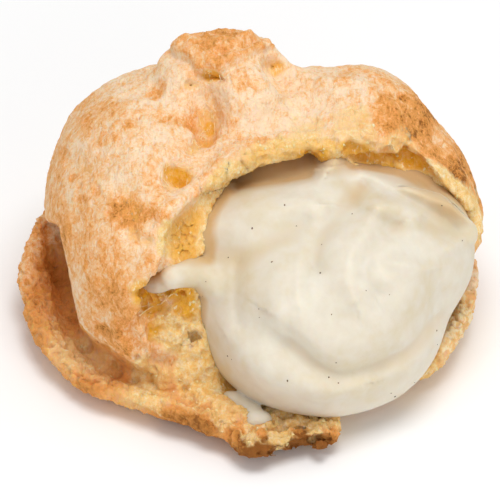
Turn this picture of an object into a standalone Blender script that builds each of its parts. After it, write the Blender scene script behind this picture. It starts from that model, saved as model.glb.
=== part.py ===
"""A cream puff torn open at its front: a choux shell round a custard filling.

Metres, +Z up. The origin is the centre of the flat that the puff rests on, and the torn side faces -Y.
"""

import math

import bmesh
import bpy
from mathutils import Matrix, Vector
from mathutils.geometry import intersect_point_line

MM = 0.001

# The whole puff.
FLOOR_THICK = 4.8 * MM
SKIN_THICK = 4.5 * MM
FIT_GAP = 0.35 * MM
TRAY_DEPTH = 20 * MM
TRAY_WIDTH = 200 * MM

# The torn opening faces forwards and up. Its outline is drawn on a plane at this slope.
OPENING_SLOPE = math.radians(54)
OPENING_REACH = 70 * MM

# Meshing.
VOXEL = 1.0 * MM
WELD = 0.01 * MM
SOFTENING = 0.5
SKIN_PASSES = 6
SHELL_PASSES = 4
BALL_SEGMENTS = 48
BALL_RINGS = 32
SAUCER_STEPS = 120
SHELL_TRIANGLES = 4800
FILLING_TRIANGLES = 3000

# Each swell of the dough: (centre, radii, turn about Z in degrees), in millimetres.
DOME_SWELLS = {
    "crown": ((1, 2, 20), (36, 30, 22.3), 0),
    "left": ((-16.6, -0.5, 21.2), (19.2, 31, 23.6), 6),
    "left_shoulder": ((-14.2, 8, 25), (16.8, 20.5, 19.1), 20),
    "right": ((19.2, -1, 18.8), (21.4, 28, 22.8), -5),
    "right_brow": ((18.4, 6, 26), (16, 20.5, 19.5), 0),
    "saddle_fill": ((10.5, 12, 35.6), (8, 9, 8), 0),
    "nape": ((-3, 14, 25), (20, 18, 18), 0),
    "back_left": ((-14, 15, 19), (18, 18, 17), 30),
    "back_right": ((15, 15, 18), (19, 17, 16), -30),
    "knob": ((-3.8, 10, 44.4), (13, 11, 6.6), -8),
    "knob_front": ((-3, 4, 41.5), (8, 7, 5.5), 0),
}
# The foot joins the dome to the saucer.
FOOT_SWELLS = {
    "heel": ((0, 15, 8), (31, 21, 10), 0),
    "heel_right": ((20, 3, 8), (15, 22, 9), 0),
}
# Hollows left in the dome by the tear and by cracks in the crust.
DENTS = {
    "crack_high": ((-7.5, -1.5, 46), (3.2, 6.5, 5.5), 12),
    "crack_low": ((-11, -15, 44.5), (4.5, 6, 5.5), -15),
    "saddle": ((6, 9, 47), (4.5, 5, 5), 0),
    "pocket": ((-16.5, -25, 23.6), (3.9, 6, 3.8), 0),
    "wedge": ((25, -12, 35), (9.5, 5.5, 4.4), -14),
}
# The filling swells out through the tear, and fills the hollow behind it.
FILLING_SWELLS = {
    "belly": ((12.6, -14.8, 15.2), (21.6, 24.3, 20), 0),
    "brow": ((9, -8, 20), (24.5, 22, 17.5), 0),
    "shoulder": ((17.5, -8.5, 21), (21.2, 21, 16.5), 0),
    "curl": ((18, -21, 21.5), (13, 14, 14), 0),
    "core": ((0, 4, 21), (28, 23, 14), 0),
}
# The hollow in the filling's face under the shell's roof.
RECESS = ((4.5, -13.5, 42), (8, 6.5, 6.5), 0)
# Folds that the spatula left in the filling's face, drawn on the opening's plane in millimetres:
# (height of the fold, half its width, points as (x, distance up the slope)).
FOLDS = {
    "long_valley": (-1.5, 2.6, ((2, -0.5), (8, -5.4), (15, -8.4), (21, -7.6), (26, -3), (31, 2.5))),
    "lower_roll": (0.9, 3.4, ((0, -7), (7, -12), (15, -14.5), (24, -12), (31, -5))),
    "upper_valley": (-1.1, 2.2, ((17, 18.5), (11, 15.5), (9.4, 11), (10.4, 6.5))),
    "left_bulge": (0.9, 4.0, ((1, 11), (0.5, 5), (2.5, 1.5))),
    "whorl_valley": (-1.2, 2.0, ((23, 15.5), (19.4, 11.5), (19, 7), (22.5, 4.2))),
    "whorl_crest": (0.6, 2.2, ((31, 14), (31.5, 8), (27, 4.6), (22.5, 8.5))),
    "brow_lump": (1.0, 2.6, ((22.5, 18), (28.5, 17.2))),
    "right_hollow": (-1.2, 2.0, ((29, 18), (36, 15.2))),
    "wedge_hollow": (-5.0, 3.2, ((19, 28), (26, 26), (31, 22.5))),
}
# A fold has its full height where the face leans this near the opening's own direction, as a cosine.
FOLD_FACING = 0.5

# The saucer's edge by compass angle: (degrees from +X, distance from the axis, height of the lip).
SAUCER_EDGE = (
    (5, 40.0, 9.5),
    (40, 38.0, 8.0),
    (90, 37.0, 7.0),
    (135, 38.0, 9.5),
    (160, 40.0, 13.0),
    (175, 40.6, 10.0),
    (195, 40.2, 7.5),
    (220, 40.0, 5.6),
    (238, 38.2, 6.2),
    (252, 38.8, 6.2),
    (264, 41.0, 6.0),
    (269, 46.6, 4.8),
    (289, 45.2, 5.0),
    (297, 34.5, 5.0),
    (310, 34.0, 5.0),
    (318, 39.4, 7.6),
    (345, 40.2, 9.5),
)
# The saucer's section: (distance from the axis, height) at an edge of 40 and a lip of 10.
SAUCER_SECTION = (
    (0.0, -2.0),
    (27.0, -2.0),
    (33.0, 0.4),
    (37.0, 3.2),
    (39.4, 6.6),
    (40.0, 9.0),
    (39.0, 10.0),
    (37.4, 9.4),
    (36.0, 7.2),
    (33.0, 5.4),
    (28.0, 4.8),
    (0.0, 4.8),
)
SECTION_EDGE = 40.0
SECTION_LIP = 10.0
SECTION_FLOOR_EDGE = 28.0

# The tear's outline on the opening's plane: (x, distance up the slope), in millimetres.
TEAR_OUTLINE = (
    (46, 9),
    (38.8, 17),
    (34, 22.5),
    (30.5, 27),
    (26, 30.5),
    (18, 31.5),
    (10, 30.2),
    (2.6, 28.5),
    (-4, 26),
    (-9.6, 21),
    (-13.6, 17),
    (-15, 12),
    (-15, 9.2),
    (-17.5, 8.7),
    (-19.6, 4.5),
    (-17.2, -5.6),
    (-14.8, -11),
    (-11, -40),
    (46, -40),
)


def clear_scene():
    for obj in list(bpy.data.objects):
        bpy.data.objects.remove(obj, do_unlink=True)


def collection(name):
    made = bpy.data.collections.new(name)
    bpy.context.scene.collection.children.link(made)
    return made


def mesh_object(name, mesh, group):
    obj = bpy.data.objects.new(name, mesh)
    group.objects.link(obj)
    return obj


def applied(obj):
    """The object's evaluated mesh becomes its own, and its modifiers go."""
    bpy.context.view_layer.update()
    graph = bpy.context.evaluated_depsgraph_get()
    mesh = bpy.data.meshes.new_from_object(obj.evaluated_get(graph))
    obj.modifiers.clear()
    obj.data = mesh
    return obj


def swell(centre, radii, turn):
    """One rounded swell as an ellipsoid."""
    mesh = bpy.data.meshes.new("swell")
    bm = bmesh.new()
    bmesh.ops.create_uvsphere(bm, u_segments=BALL_SEGMENTS, v_segments=BALL_RINGS, radius=1.0)
    size = Matrix.Diagonal((*(Vector(radii) * MM), 1.0))
    place = Matrix.Translation(Vector(centre) * MM) @ Matrix.Rotation(math.radians(turn), 4, "Z")
    bm.transform(place @ size)
    bm.to_mesh(mesh)
    bm.free()
    return mesh


def fused(name, meshes, group, passes=SKIN_PASSES):
    """Overlapping closed meshes melted into one soft skin."""
    bm = bmesh.new()
    for mesh in meshes:
        bm.from_mesh(mesh)
    mesh = bpy.data.meshes.new(name)
    bm.to_mesh(mesh)
    bm.free()
    obj = mesh_object(name, mesh, group)
    remesh = obj.modifiers.new("melt", "REMESH")
    remesh.mode = "VOXEL"
    remesh.voxel_size = VOXEL
    smooth = obj.modifiers.new("soften", "SMOOTH")
    smooth.factor = SOFTENING
    smooth.iterations = passes
    return applied(obj)


def cut(obj, cutter):
    """Takes the cutter's space out of the object."""
    boolean = obj.modifiers.new("cut", "BOOLEAN")
    boolean.operation = "DIFFERENCE"
    boolean.object = cutter
    return applied(obj)


def swollen(obj, name, by, group):
    """A copy of a closed skin moved out along its normals."""
    copy = mesh_object(name, obj.data.copy(), group)
    push = copy.modifiers.new("push", "DISPLACE")
    push.mid_level = 0.0
    push.strength = by
    return applied(copy)


def reduced(obj, triangles):
    obj.data.calc_loop_triangles()
    shrink = obj.modifiers.new("reduce", "DECIMATE")
    shrink.ratio = triangles / len(obj.data.loop_triangles)
    return applied(obj)


def slab(name, height, group):
    """Everything below a height: what the puff was baked on, or the floor that the filling lies on."""
    mesh = bpy.data.meshes.new(name)
    bm = bmesh.new()
    bmesh.ops.create_cube(bm, size=1.0)
    size = Matrix.Diagonal((TRAY_WIDTH, TRAY_WIDTH, TRAY_DEPTH, 1))
    bm.transform(Matrix.Translation((0, 0, height - TRAY_DEPTH / 2)) @ size)
    bm.to_mesh(mesh)
    bm.free()
    return mesh_object(name, mesh, group)


def edge_at(angle):
    """The saucer's edge and lip at a compass angle, eased between their stations."""
    angle = math.degrees(angle) % 360
    if angle < SAUCER_EDGE[0][0]:
        angle += 360
    first = SAUCER_EDGE[0]
    stations = (*SAUCER_EDGE, (first[0] + 360, *first[1:]))
    before, after = next(pair for pair in zip(stations, stations[1:]) if angle <= pair[1][0])
    share = (angle - before[0]) / (after[0] - before[0])
    share = share * share * (3 - 2 * share)
    return [a + (b - a) * share for a, b in zip(before[1:], after[1:])]


def saucer(group):
    """The tray-baked bottom of the shell: a turned section whose edge and lip vary round it."""
    bm = bmesh.new()
    points = [bm.verts.new((r * MM, 0, z * MM)) for r, z in SAUCER_SECTION]
    for first, second in zip(points, points[1:]):
        bm.edges.new((first, second))
    mesh = bpy.data.meshes.new("saucer")
    bm.to_mesh(mesh)
    bm.free()
    obj = mesh_object("saucer", mesh, group)
    screw = obj.modifiers.new("turn", "SCREW")
    screw.steps = SAUCER_STEPS
    screw.render_steps = SAUCER_STEPS
    screw.use_merge_vertices = True
    screw.merge_threshold = WELD
    applied(obj)
    for vertex in obj.data.vertices:
        x, y, z = vertex.co / MM
        edge, lip = edge_at(math.atan2(y, x))
        distance = math.hypot(x, y)
        reach = 1 + (edge / SECTION_EDGE - 1) * distance / SECTION_EDGE
        rise = max(0.0, (distance - SECTION_FLOOR_EDGE) / (SECTION_EDGE - SECTION_FLOOR_EDGE))
        lift = 1 + (lip / SECTION_LIP - 1) * rise if z > 0 else 1.0
        vertex.co = Vector((x * reach, y * reach, z * lift)) * MM
    return obj


def tear(dome, group):
    """What the tear takes from the dome: a skin deep bite inside the outline."""
    curve = bpy.data.curves.new("tear_outline", "CURVE")
    curve.dimensions = "2D"
    curve.fill_mode = "BOTH"
    curve.extrude = OPENING_REACH / 2
    spline = curve.splines.new("POLY")
    spline.points.add(len(TEAR_OUTLINE) - 1)
    for point, (x, s) in zip(spline.points, TEAR_OUTLINE):
        point.co = (x * MM, s * MM, 0, 1)
    spline.use_cyclic_u = True
    outline = bpy.data.objects.new("tear_outline", curve)
    group.objects.link(outline)
    bpy.context.view_layer.update()
    graph = bpy.context.evaluated_depsgraph_get()
    mesh = bpy.data.meshes.new_from_object(outline.evaluated_get(graph))
    bpy.data.objects.remove(outline)
    bm = bmesh.new()
    bm.from_mesh(mesh)
    bmesh.ops.remove_doubles(bm, verts=bm.verts, dist=WELD)
    bmesh.ops.recalc_face_normals(bm, faces=bm.faces)
    bm.transform(Matrix.Rotation(OPENING_SLOPE, 4, "X") @ Matrix.Translation((0, 0, OPENING_REACH / 2)))
    bm.to_mesh(mesh)
    bm.free()
    core = swollen(dome, "core", -SKIN_THICK, group)
    return cut(mesh_object("tear", mesh, group), core)


def off_run(point, start, end):
    """The distance from a point to a straight run."""
    share = intersect_point_line(point, start, end)[1]
    return (point - start.lerp(end, min(1.0, max(0.0, share)))).length


def folded(filling):
    """Raises and sinks the filling's face along its folds."""
    slope = Matrix.Rotation(OPENING_SLOPE, 3, "X")
    outward = slope @ Vector((0, 0, 1))
    strokes = []
    for height, spread, points in FOLDS.values():
        points = [Vector((*point, 0)) for point in points]
        strokes.append((height, spread, list(zip(points, points[1:]))))
    normals = [vertex.normal.copy() for vertex in filling.data.vertices]
    for vertex, normal in zip(filling.data.vertices, normals):
        facing = min(1.0, normal.dot(outward) / FOLD_FACING)
        if facing <= 0:
            continue
        place = (slope.transposed() @ vertex.co) / MM
        place.z = 0
        raised = 0.0
        for height, spread, runs in strokes:
            nearest = min(off_run(place, *run) for run in runs)
            raised += height * math.exp(-((nearest / spread) ** 2))
        vertex.co += outward * (raised * facing * MM)
    return filling


def shell_blank(group, helpers):
    """The shell before the filling is let into it: dome, foot and saucer in one skin."""
    dome = fused("dome", [swell(*s) for s in DOME_SWELLS.values()], helpers)
    cut(dome, tear(dome, helpers))
    for name, dent in DENTS.items():
        cut(dome, mesh_object(name, swell(*dent), helpers))
    base = saucer(helpers)
    foot = [swell(*s) for s in FOOT_SWELLS.values()]
    shell = fused("choux_shell", [dome.data, base.data, *foot], group, SHELL_PASSES)
    return reduced(shell, SHELL_TRIANGLES)


def cream(group, helpers):
    """The filling: its swells cut off flat above the shell's floor, then folded."""
    swells = fused("swells", [swell(*s) for s in FILLING_SWELLS.values()], helpers)
    cut(swells, mesh_object("recess", swell(*RECESS), helpers))
    cut(swells, slab("floor", FLOOR_THICK + FIT_GAP, helpers))
    filling = fused("cream_filling", [swells.data], group)
    return reduced(folded(filling), FILLING_TRIANGLES)


def finish(obj, name, colour, roughness):
    made = bpy.data.materials.new(name)
    made.use_nodes = True
    shader = made.node_tree.nodes["Principled BSDF"]
    shader.inputs["Base Color"].default_value = (*colour, 1)
    shader.inputs["Roughness"].default_value = roughness
    obj.data.materials.clear()
    obj.data.materials.append(made)
    obj.data.shade_smooth()


def main():
    clear_scene()
    puff = collection("cream_puff")
    helpers = collection("helpers")
    shell = shell_blank(puff, helpers)
    filling = cream(puff, helpers)
    cut(shell, swollen(filling, "hollow", FIT_GAP, helpers))
    cut(shell, slab("tray", 0, helpers))
    for helper in helpers.objects:
        helper.hide_render = True
        helper.display_type = "WIRE"
    finish(shell, "baked_choux", (0.72, 0.42, 0.19), 0.7)
    finish(filling, "custard_cream", (0.85, 0.78, 0.62), 0.4)


main()
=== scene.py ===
import itertools
import math

import bmesh
import bpy
import numpy as np
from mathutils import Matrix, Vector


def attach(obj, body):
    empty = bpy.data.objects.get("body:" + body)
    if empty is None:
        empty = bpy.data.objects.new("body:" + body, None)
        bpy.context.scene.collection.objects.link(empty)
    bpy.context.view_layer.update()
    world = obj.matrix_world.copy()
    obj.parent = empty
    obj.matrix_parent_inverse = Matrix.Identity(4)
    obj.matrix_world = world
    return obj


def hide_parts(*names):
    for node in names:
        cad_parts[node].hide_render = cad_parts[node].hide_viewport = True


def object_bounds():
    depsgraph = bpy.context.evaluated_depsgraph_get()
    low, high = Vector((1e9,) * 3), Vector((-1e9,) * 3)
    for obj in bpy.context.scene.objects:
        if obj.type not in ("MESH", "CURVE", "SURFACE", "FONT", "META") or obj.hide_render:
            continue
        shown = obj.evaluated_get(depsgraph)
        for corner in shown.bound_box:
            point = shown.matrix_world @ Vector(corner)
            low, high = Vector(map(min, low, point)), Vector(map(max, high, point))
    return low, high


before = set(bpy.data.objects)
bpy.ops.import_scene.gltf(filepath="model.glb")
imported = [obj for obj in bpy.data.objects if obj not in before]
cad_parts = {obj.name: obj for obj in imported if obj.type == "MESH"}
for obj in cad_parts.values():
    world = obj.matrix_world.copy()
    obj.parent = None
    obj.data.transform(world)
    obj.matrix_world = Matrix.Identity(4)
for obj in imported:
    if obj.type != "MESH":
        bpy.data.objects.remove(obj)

import openvdb
from bpy.props import FloatProperty, FloatVectorProperty, IntProperty, PointerProperty
from bpy.types import Operator, Panel, PropertyGroup
from mathutils import Vector

bl_info = {
    "name": "Torn cream puff",
    "version": (1, 0, 0),
    "blender": (4, 5, 0),
    "location": "3D View > Sidebar > Cream puff",
    "description": "Finishes a torn choux puff and its custard cream on a pale studio floor",
    "category": "Object",
}

MM = 0.001
CAD_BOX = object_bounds()

# The torn face looks forwards and up. Places on it are (x, distance up the slope), in millimetres.
FACE_TILT = math.radians(36)
OUTWARD = np.array((0.0, -math.cos(FACE_TILT), math.sin(FACE_TILT)))
UPSLOPE = np.array((0.0, math.sin(FACE_TILT), math.cos(FACE_TILT)))
FACE = np.array((np.array((1.0, 0.0, 0.0)), UPSLOPE, OUTWARD))

# The sculpting block: its voxel in millimetres, its empty border and how far it knows distances, in voxels.
VOXEL = 0.4
MARGIN = 4
BAND = 8
# How far out of the torn face a straight look in starts and ends, and the depth that stands for no meeting.
LOOK_FROM = 60
LOOK_TO = -40
NOTHING = -40.0
# The crust's triangles, and how they thin out: levels of sparing, its pull, and its share on the far side.
SHELL_TRIANGLES = 195_000
SPARE_LEVELS = 4
SPARE_PULL = 4.0
SPARE_BEHIND = 0.3
# Large odd numbers that scatter whole-number cells, the shifts and factors that stir them, and the bits kept.
SCATTER = (73856093, 19349663, 83492791, 2654435761)
STIR = ((13, 1274126177), (15, 2246822519))
KEPT_BITS = 0xFFFFFFFF
# Brings the height of the noise's lumps to about 1.
NOISE_GAIN = 1.4


# ---------------------------------------------------------------- numbers

def smoothstep(low, high, values):
    share = np.clip((values - low) / (high - low), 0, 1)
    return share * share * (3 - 2 * share)


def soft_min(a, b, blend):
    share = np.clip(0.5 + 0.5 * (b - a) / blend, 0, 1)
    return b + (a - b) * share - blend * share * (1 - share)


def soft_max(a, b, blend):
    return -soft_min(-a, -b, blend)


def hashed(cells, seed):
    """A repeatable scramble of whole-number cells."""
    x, y, z = cells.T
    mixed = x * SCATTER[0] ^ y * SCATTER[1] ^ z * SCATTER[2] ^ seed * SCATTER[3]
    for shift, factor in STIR:
        mixed = (mixed ^ mixed >> shift) * factor & KEPT_BITS
    return mixed ^ mixed >> 16


def noise(points, size, seed=0):
    """Smooth lumps of about a size, from -1 to 1, at points."""
    scaled = points / size
    cells = np.floor(scaled).astype(np.int64)
    share = scaled - cells
    ease = share * share * share * (share * (share * 6 - 15) + 10)
    total = np.zeros(len(points))
    for corner in itertools.product((0, 1), repeat=3):
        code = hashed(cells + corner, seed)
        slopes = np.stack([(code >> shift & 255) / 127.5 - 1 for shift in (0, 8, 16)], axis=1)
        weight = np.prod(np.where(corner, ease, 1 - ease), axis=1)
        total += weight * np.sum(slopes * (share - corner), axis=1)
    return total * NOISE_GAIN


def layered(points, size, octaves, seed=0):
    """Lumps on lumps: each layer half the size and half the height of the last."""
    return sum(noise(points, size / 2**k, seed + k) / 2**k for k in range(octaves))


def ridged(points, size, octaves, seed=0):
    """Sharp crests with soft hollows between them, from 0 to about 1."""
    layers = [(1 - 2 * np.abs(noise(points, size / 2**k, seed + k))) / 2**k for k in range(octaves)]
    return sum(layers) / 2


def on_face(points):
    """Points in millimetres as (x, distance up the slope, distance out of it)."""
    return np.stack([points[:, 0], points @ UPSLOPE, points @ OUTWARD], axis=1)


def off_face(x, up, out):
    """The reverse of on_face."""
    x, up, out = np.broadcast_arrays(x, up, out)
    across = np.stack([x, np.zeros_like(x), np.zeros_like(x)], axis=-1)
    return across + up[..., None] * UPSLOPE + out[..., None] * OUTWARD


def curve_through(stations, steps=8):
    """A smooth run through a few stations."""
    stations = np.asarray(stations, float)
    padded = np.vstack([2 * stations[0] - stations[1], stations, 2 * stations[-1] - stations[-2]])
    run = []
    for a, b, c, d in zip(padded, padded[1:], padded[2:], padded[3:]):
        slope, bend, twist = c - a, 2 * a - 5 * b + 4 * c - d, 3 * b - a - 3 * c + d
        for t in np.arange(steps) / steps:
            run.append(b + slope * t / 2 + bend * t**2 / 2 + twist * t**3 / 2)
    return np.array([*run, stations[-1]])


def beside(places, run):
    """(signed distance to a flat run, share along it) of each place: positive on the run's left."""
    best = np.full(len(places), np.inf)
    side = np.zeros(len(places))
    along = np.zeros(len(places))
    for k, (start, end) in enumerate(zip(run, run[1:])):
        way = end - start
        offset = places - start
        share = np.clip(offset @ way / (way @ way), 0, 1)
        gap = np.linalg.norm(offset - share[:, None] * way, axis=1)
        nearer = gap < best
        turn = way[0] * offset[:, 1] - way[1] * offset[:, 0]
        best = np.where(nearer, gap, best)
        side = np.where(nearer, np.where(turn < 0, -1.0, 1.0), side)
        along = np.where(nearer, (k + share) / (len(run) - 1), along)
    return best * side, along


def between_cells(table, scaled):
    """A table's values at places given in its own cells, linear between them."""
    scaled = np.clip(scaled, 0, np.array(table.shape) - 1.001)
    cells = scaled.astype(int)
    share = scaled - cells
    total = np.zeros(len(scaled))
    for corner in itertools.product((0, 1), repeat=table.ndim):
        weight = np.prod(np.where(corner, share, 1 - share), axis=1)
        total += weight * table[tuple((cells + corner).T)]
    return total


def rows_of(items, field, width=3, kind=np.float32):
    """A field of a mesh's points or faces as an array, a row for each."""
    values = np.empty(len(items) * width, kind)
    items.foreach_get(field, values)
    return values.reshape(-1, width)


# ---------------------------------------------------------------- solids as distances

class Block:
    """The space round the puff in voxels. Its arrays hold millimetres to a skin, negative inside."""

    def __init__(self, box, voxel):
        low, high = (np.array(corner) / MM for corner in box)
        self.voxel = voxel
        self.first = np.floor(low / voxel).astype(int) - MARGIN
        self.shape = tuple(int(n) for n in np.ceil(high / voxel).astype(int) + MARGIN + 1 - self.first)

    def distance(self, obj):
        """The distance to a closed mesh object's skin, up to BAND voxels."""
        obj.data.calc_loop_triangles()
        grid = openvdb.FloatGrid.createLevelSetFromPolygons(
            rows_of(obj.data.vertices, "co") / MM,
            triangles=rows_of(obj.data.loop_triangles, "vertices", kind=np.int32).astype(np.uint32),
            transform=openvdb.createLinearTransform(voxelSize=self.voxel),
            halfWidth=BAND,
        )
        values = np.full(self.shape, BAND * self.voxel, np.float32)
        grid.copyToArray(values, ijk=tuple(int(n) for n in self.first))
        return values

    def skin(self, values):
        """(points, quads) of the surface where an array is zero."""
        grid = openvdb.FloatGrid(BAND * self.voxel)
        grid.transform = openvdb.createLinearTransform(voxelSize=self.voxel)
        grid.copyFromArray(values.astype(np.float32), ijk=tuple(int(n) for n in self.first))
        points, _, quads = grid.convertToPolygons(isovalue=0.0, adaptivity=0.0)
        return np.array(points, float), np.array(quads, np.int64)

    def region(self, values, low, high):
        """The part of an array between two corners, and each of its voxels' place."""
        first = np.clip(np.floor(np.asarray(low) / self.voxel).astype(int) - self.first, 0, self.shape)
        last = np.clip(np.ceil(np.asarray(high) / self.voxel).astype(int) - self.first + 1, 0, self.shape)
        axes = [(np.arange(a, b) + f) * self.voxel for a, b, f in zip(first, last, self.first)]
        part = values[tuple(slice(a, b) for a, b in zip(first, last))]
        return part, np.stack(np.meshgrid(*axes, indexing="ij"), axis=-1)

    def sampled(self, values, points):
        """An array's values at points, linear between voxels."""
        return between_cells(values, points / self.voxel - self.first)

    def landing(self, values, places):
        """Where lines straight into the torn face, at (x, up the slope) places, first meet the skin."""
        places = np.atleast_2d(np.asarray(places, float))
        outs = np.arange(LOOK_FROM, LOOK_TO, -self.voxel / 2)
        found = off_face(places[:, :1], places[:, 1:2], outs[None, :])
        depth = self.sampled(values, found.reshape(-1, 3)).reshape(found.shape[:2])
        first = np.argmax(depth < 0, axis=1)
        return found[np.arange(len(places)), first]

    def uphill(self, values, points):
        """The skin's outward direction at points."""
        sides = [self.sampled(values, points + step) - self.sampled(values, points - step)
                 for step in np.eye(3) * self.voxel]
        slope = np.stack(sides, axis=1)
        return slope / np.maximum(np.linalg.norm(slope, axis=1, keepdims=True), 1e-9)


def blurred(values, passes):
    """An array softened by passes of a one-two-one blur along each axis."""
    for _ in range(passes):
        for axis in range(3):
            inner = [slice(None)] * 3
            before, after = list(inner), list(inner)
            inner[axis], before[axis], after[axis] = slice(1, -1), slice(None, -2), slice(2, None)
            soft = values.copy()
            either_side = values[tuple(before)] + values[tuple(after)]
            soft[tuple(inner)] = values[tuple(inner)] * 0.5 + either_side * 0.25
            values = soft
    return values


def ball(block, values, centre, radii, basis=None, blend=0.3, add=False, ragged=0.0):
    """Hollows an ellipsoid out of a solid, or adds it. The radii lie along the basis rows."""
    centre = np.asarray(centre, float)
    radii = np.broadcast_to(np.asarray(radii, float), 3)
    reach = radii.max() + 4 * blend + block.voxel
    part, places = block.region(values, centre - reach, centre + reach)
    offset = places - centre
    if basis is not None:
        offset = offset @ np.asarray(basis).T
    scaled = np.linalg.norm(offset / radii, axis=-1)
    if ragged:
        lumps = layered(offset.reshape(-1, 3) + 3.1 * centre, 1.1 * radii.min(), 3, seed=17)
        scaled = scaled + ragged * lumps.reshape(scaled.shape)
    inside = (scaled - 1) * radii.min()
    part[...] = soft_min(part, inside, blend) if add else soft_max(part, -inside, blend)


def rope(block, values, ends, radii, count, blend):
    """Adds a row of ragged balls between two places, with radii that run from one to another."""
    for share in np.linspace(0, 1, count):
        centre = ends[0] + (ends[1] - ends[0]) * share
        radius = radii[0] + (radii[1] - radii[0]) * share
        ball(block, values, centre, radius, blend=blend, add=True, ragged=0.2)


def trench(block, values, width, floor, stations):
    """Cuts a gap of a half width straight into the face, down to a floor's height."""
    run = curve_through(stations, 4)
    front, back, top = -50, 25, 40
    low = np.array((run[:, 0].min() - width - 2, front, floor - 1))
    high = np.array((run[:, 0].max() + width + 2, back, top))
    part, places = block.region(values, low, high)
    faces = on_face(places.reshape(-1, 3))
    gap = np.abs(beside(faces[:, :2], run)[0]).reshape(part.shape) - width
    gap = soft_max(gap, floor - places[..., 2], 1.6)
    gap = soft_max(gap, -faces[:, 2].reshape(part.shape) - 4, 1.0)
    part[...] = soft_max(part, -gap, 0.9)


def rubbed(block, values, width, stations, passes):
    """Blurs a solid along a run on the face, within about a half width of it."""
    run = curve_through(stations, 4)
    corners = off_face(*np.array([(x, up, out) for x, up in run for out in (0, 40)]).T)
    part, places = block.region(values, corners.min(axis=0) - 2 * width, corners.max(axis=0) + 2 * width)
    faces = on_face(places.reshape(-1, 3))
    away = np.abs(beside(faces[:, :2], run)[0]).reshape(part.shape)
    near = 1 - smoothstep(0.7 * width, 1.6 * width, away)
    share = near * smoothstep(-5, 5, faces[:, 2]).reshape(part.shape)
    part[...] += (blurred(part, passes) - part) * share


def island(points, quads):
    """The largest connected piece of a skin."""
    labels = np.arange(len(points))
    edges = np.concatenate([quads[:, [0, 1]], quads[:, [1, 2]], quads[:, [2, 3]]])
    while True:
        low = np.minimum(labels[edges[:, 0]], labels[edges[:, 1]])
        fresh = labels.copy()
        np.minimum.at(fresh, edges[:, 0], low)
        np.minimum.at(fresh, edges[:, 1], low)
        fresh = fresh[fresh]
        if np.array_equal(fresh, labels):
            break
        labels = fresh
    kept = labels == np.bincount(labels).argmax()
    index = np.cumsum(kept) - 1
    return points[kept], index[quads[kept[quads[:, 0]]]]


def linked(name, data):
    """A new object, in the scene."""
    obj = bpy.data.objects.new(name, data)
    bpy.context.scene.collection.objects.link(obj)
    return obj


def skin_object(name, points, quads):
    mesh = bpy.data.meshes.new(name)
    mesh.vertices.add(len(points))
    mesh.vertices.foreach_set("co", (points * MM).astype(np.float32).ravel())
    mesh.loops.add(quads.size)
    mesh.loops.foreach_set("vertex_index", quads.astype(np.int32).ravel())
    mesh.polygons.add(len(quads))
    mesh.polygons.foreach_set("loop_start", (np.arange(len(quads)) * quads.shape[1]).astype(np.int32))
    mesh.update(calc_edges=True)
    return linked(name, mesh)


def evaluated_mesh(obj, name):
    """The mesh that an object's modifiers or its curve make."""
    bpy.context.view_layer.update()
    graph = bpy.context.evaluated_depsgraph_get()
    mesh = bpy.data.meshes.new_from_object(obj.evaluated_get(graph))
    mesh.name = name
    return mesh


def thin_out(obj, triangles, spare):
    """Leaves fewer triangles, taken most where spare, a share from 0 to 1 for each vertex, is high."""
    obj.data.calc_loop_triangles()
    shrink = obj.modifiers.new("thin", "DECIMATE")
    shrink.ratio = min(1.0, triangles / len(obj.data.loop_triangles))
    shrink.use_collapse_triangulate = True
    group = obj.vertex_groups.new(name="spare")
    for level in range(1, SPARE_LEVELS + 1):
        chosen = np.flatnonzero(np.round(spare * SPARE_LEVELS) == level)
        group.add(chosen.tolist(), level / SPARE_LEVELS, "REPLACE")
    shrink.vertex_group = group.name
    shrink.vertex_group_factor = SPARE_PULL
    mesh, old = evaluated_mesh(obj, obj.name), obj.data
    obj.modifiers.clear()
    obj.data = mesh
    bpy.data.meshes.remove(old)
    obj.vertex_groups.clear()


def set_field(mesh, name, values):
    layer = mesh.attributes.new(name, "FLOAT", "POINT")
    layer.data.foreach_set("value", np.asarray(values, np.float32))


# ---------------------------------------------------------------- the cream's shape

# Passes of blur that round the CAD solid, and how far the cream grows past it, into the crumb round it.
CREAM_BLUR = 12
CREAM_OVERLAP = 0.6
# Broad unevenness of the cream: its size and height.
CREAM_LUMP_SIZE = 9.0
CREAM_LUMP_HEIGHT = 0.22
# How near the roof and the crust have to be to tint the cream: from fully to not at all.
# Under the roof the tint is painted shade; beside the crust it is the crust's tint, partly painted shade.
UNDER_ROOF = (1.5, 6.5)
BESIDE_CRUST = (0.2, 2.4)
# Crumb that hangs from the roof's torn edge: (x, up the slope, radius) stations and how deep it lies.
ROOF_CRUMB = ((-6.6, 23.8, 1.7), (-1.6, 27.4, 2.2), (5.3, 28.8, 2.0), (10.4, 29.4, 1.7), (15.0, 29.6, 2.3),
              (20.5, 30.6, 1.9), (26.0, 28.4, 1.7), (31.2, 24.4, 1.4), (35.2, 20.4, 1.0))
ROOF_CRUMB_SUNK = 1.7

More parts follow.
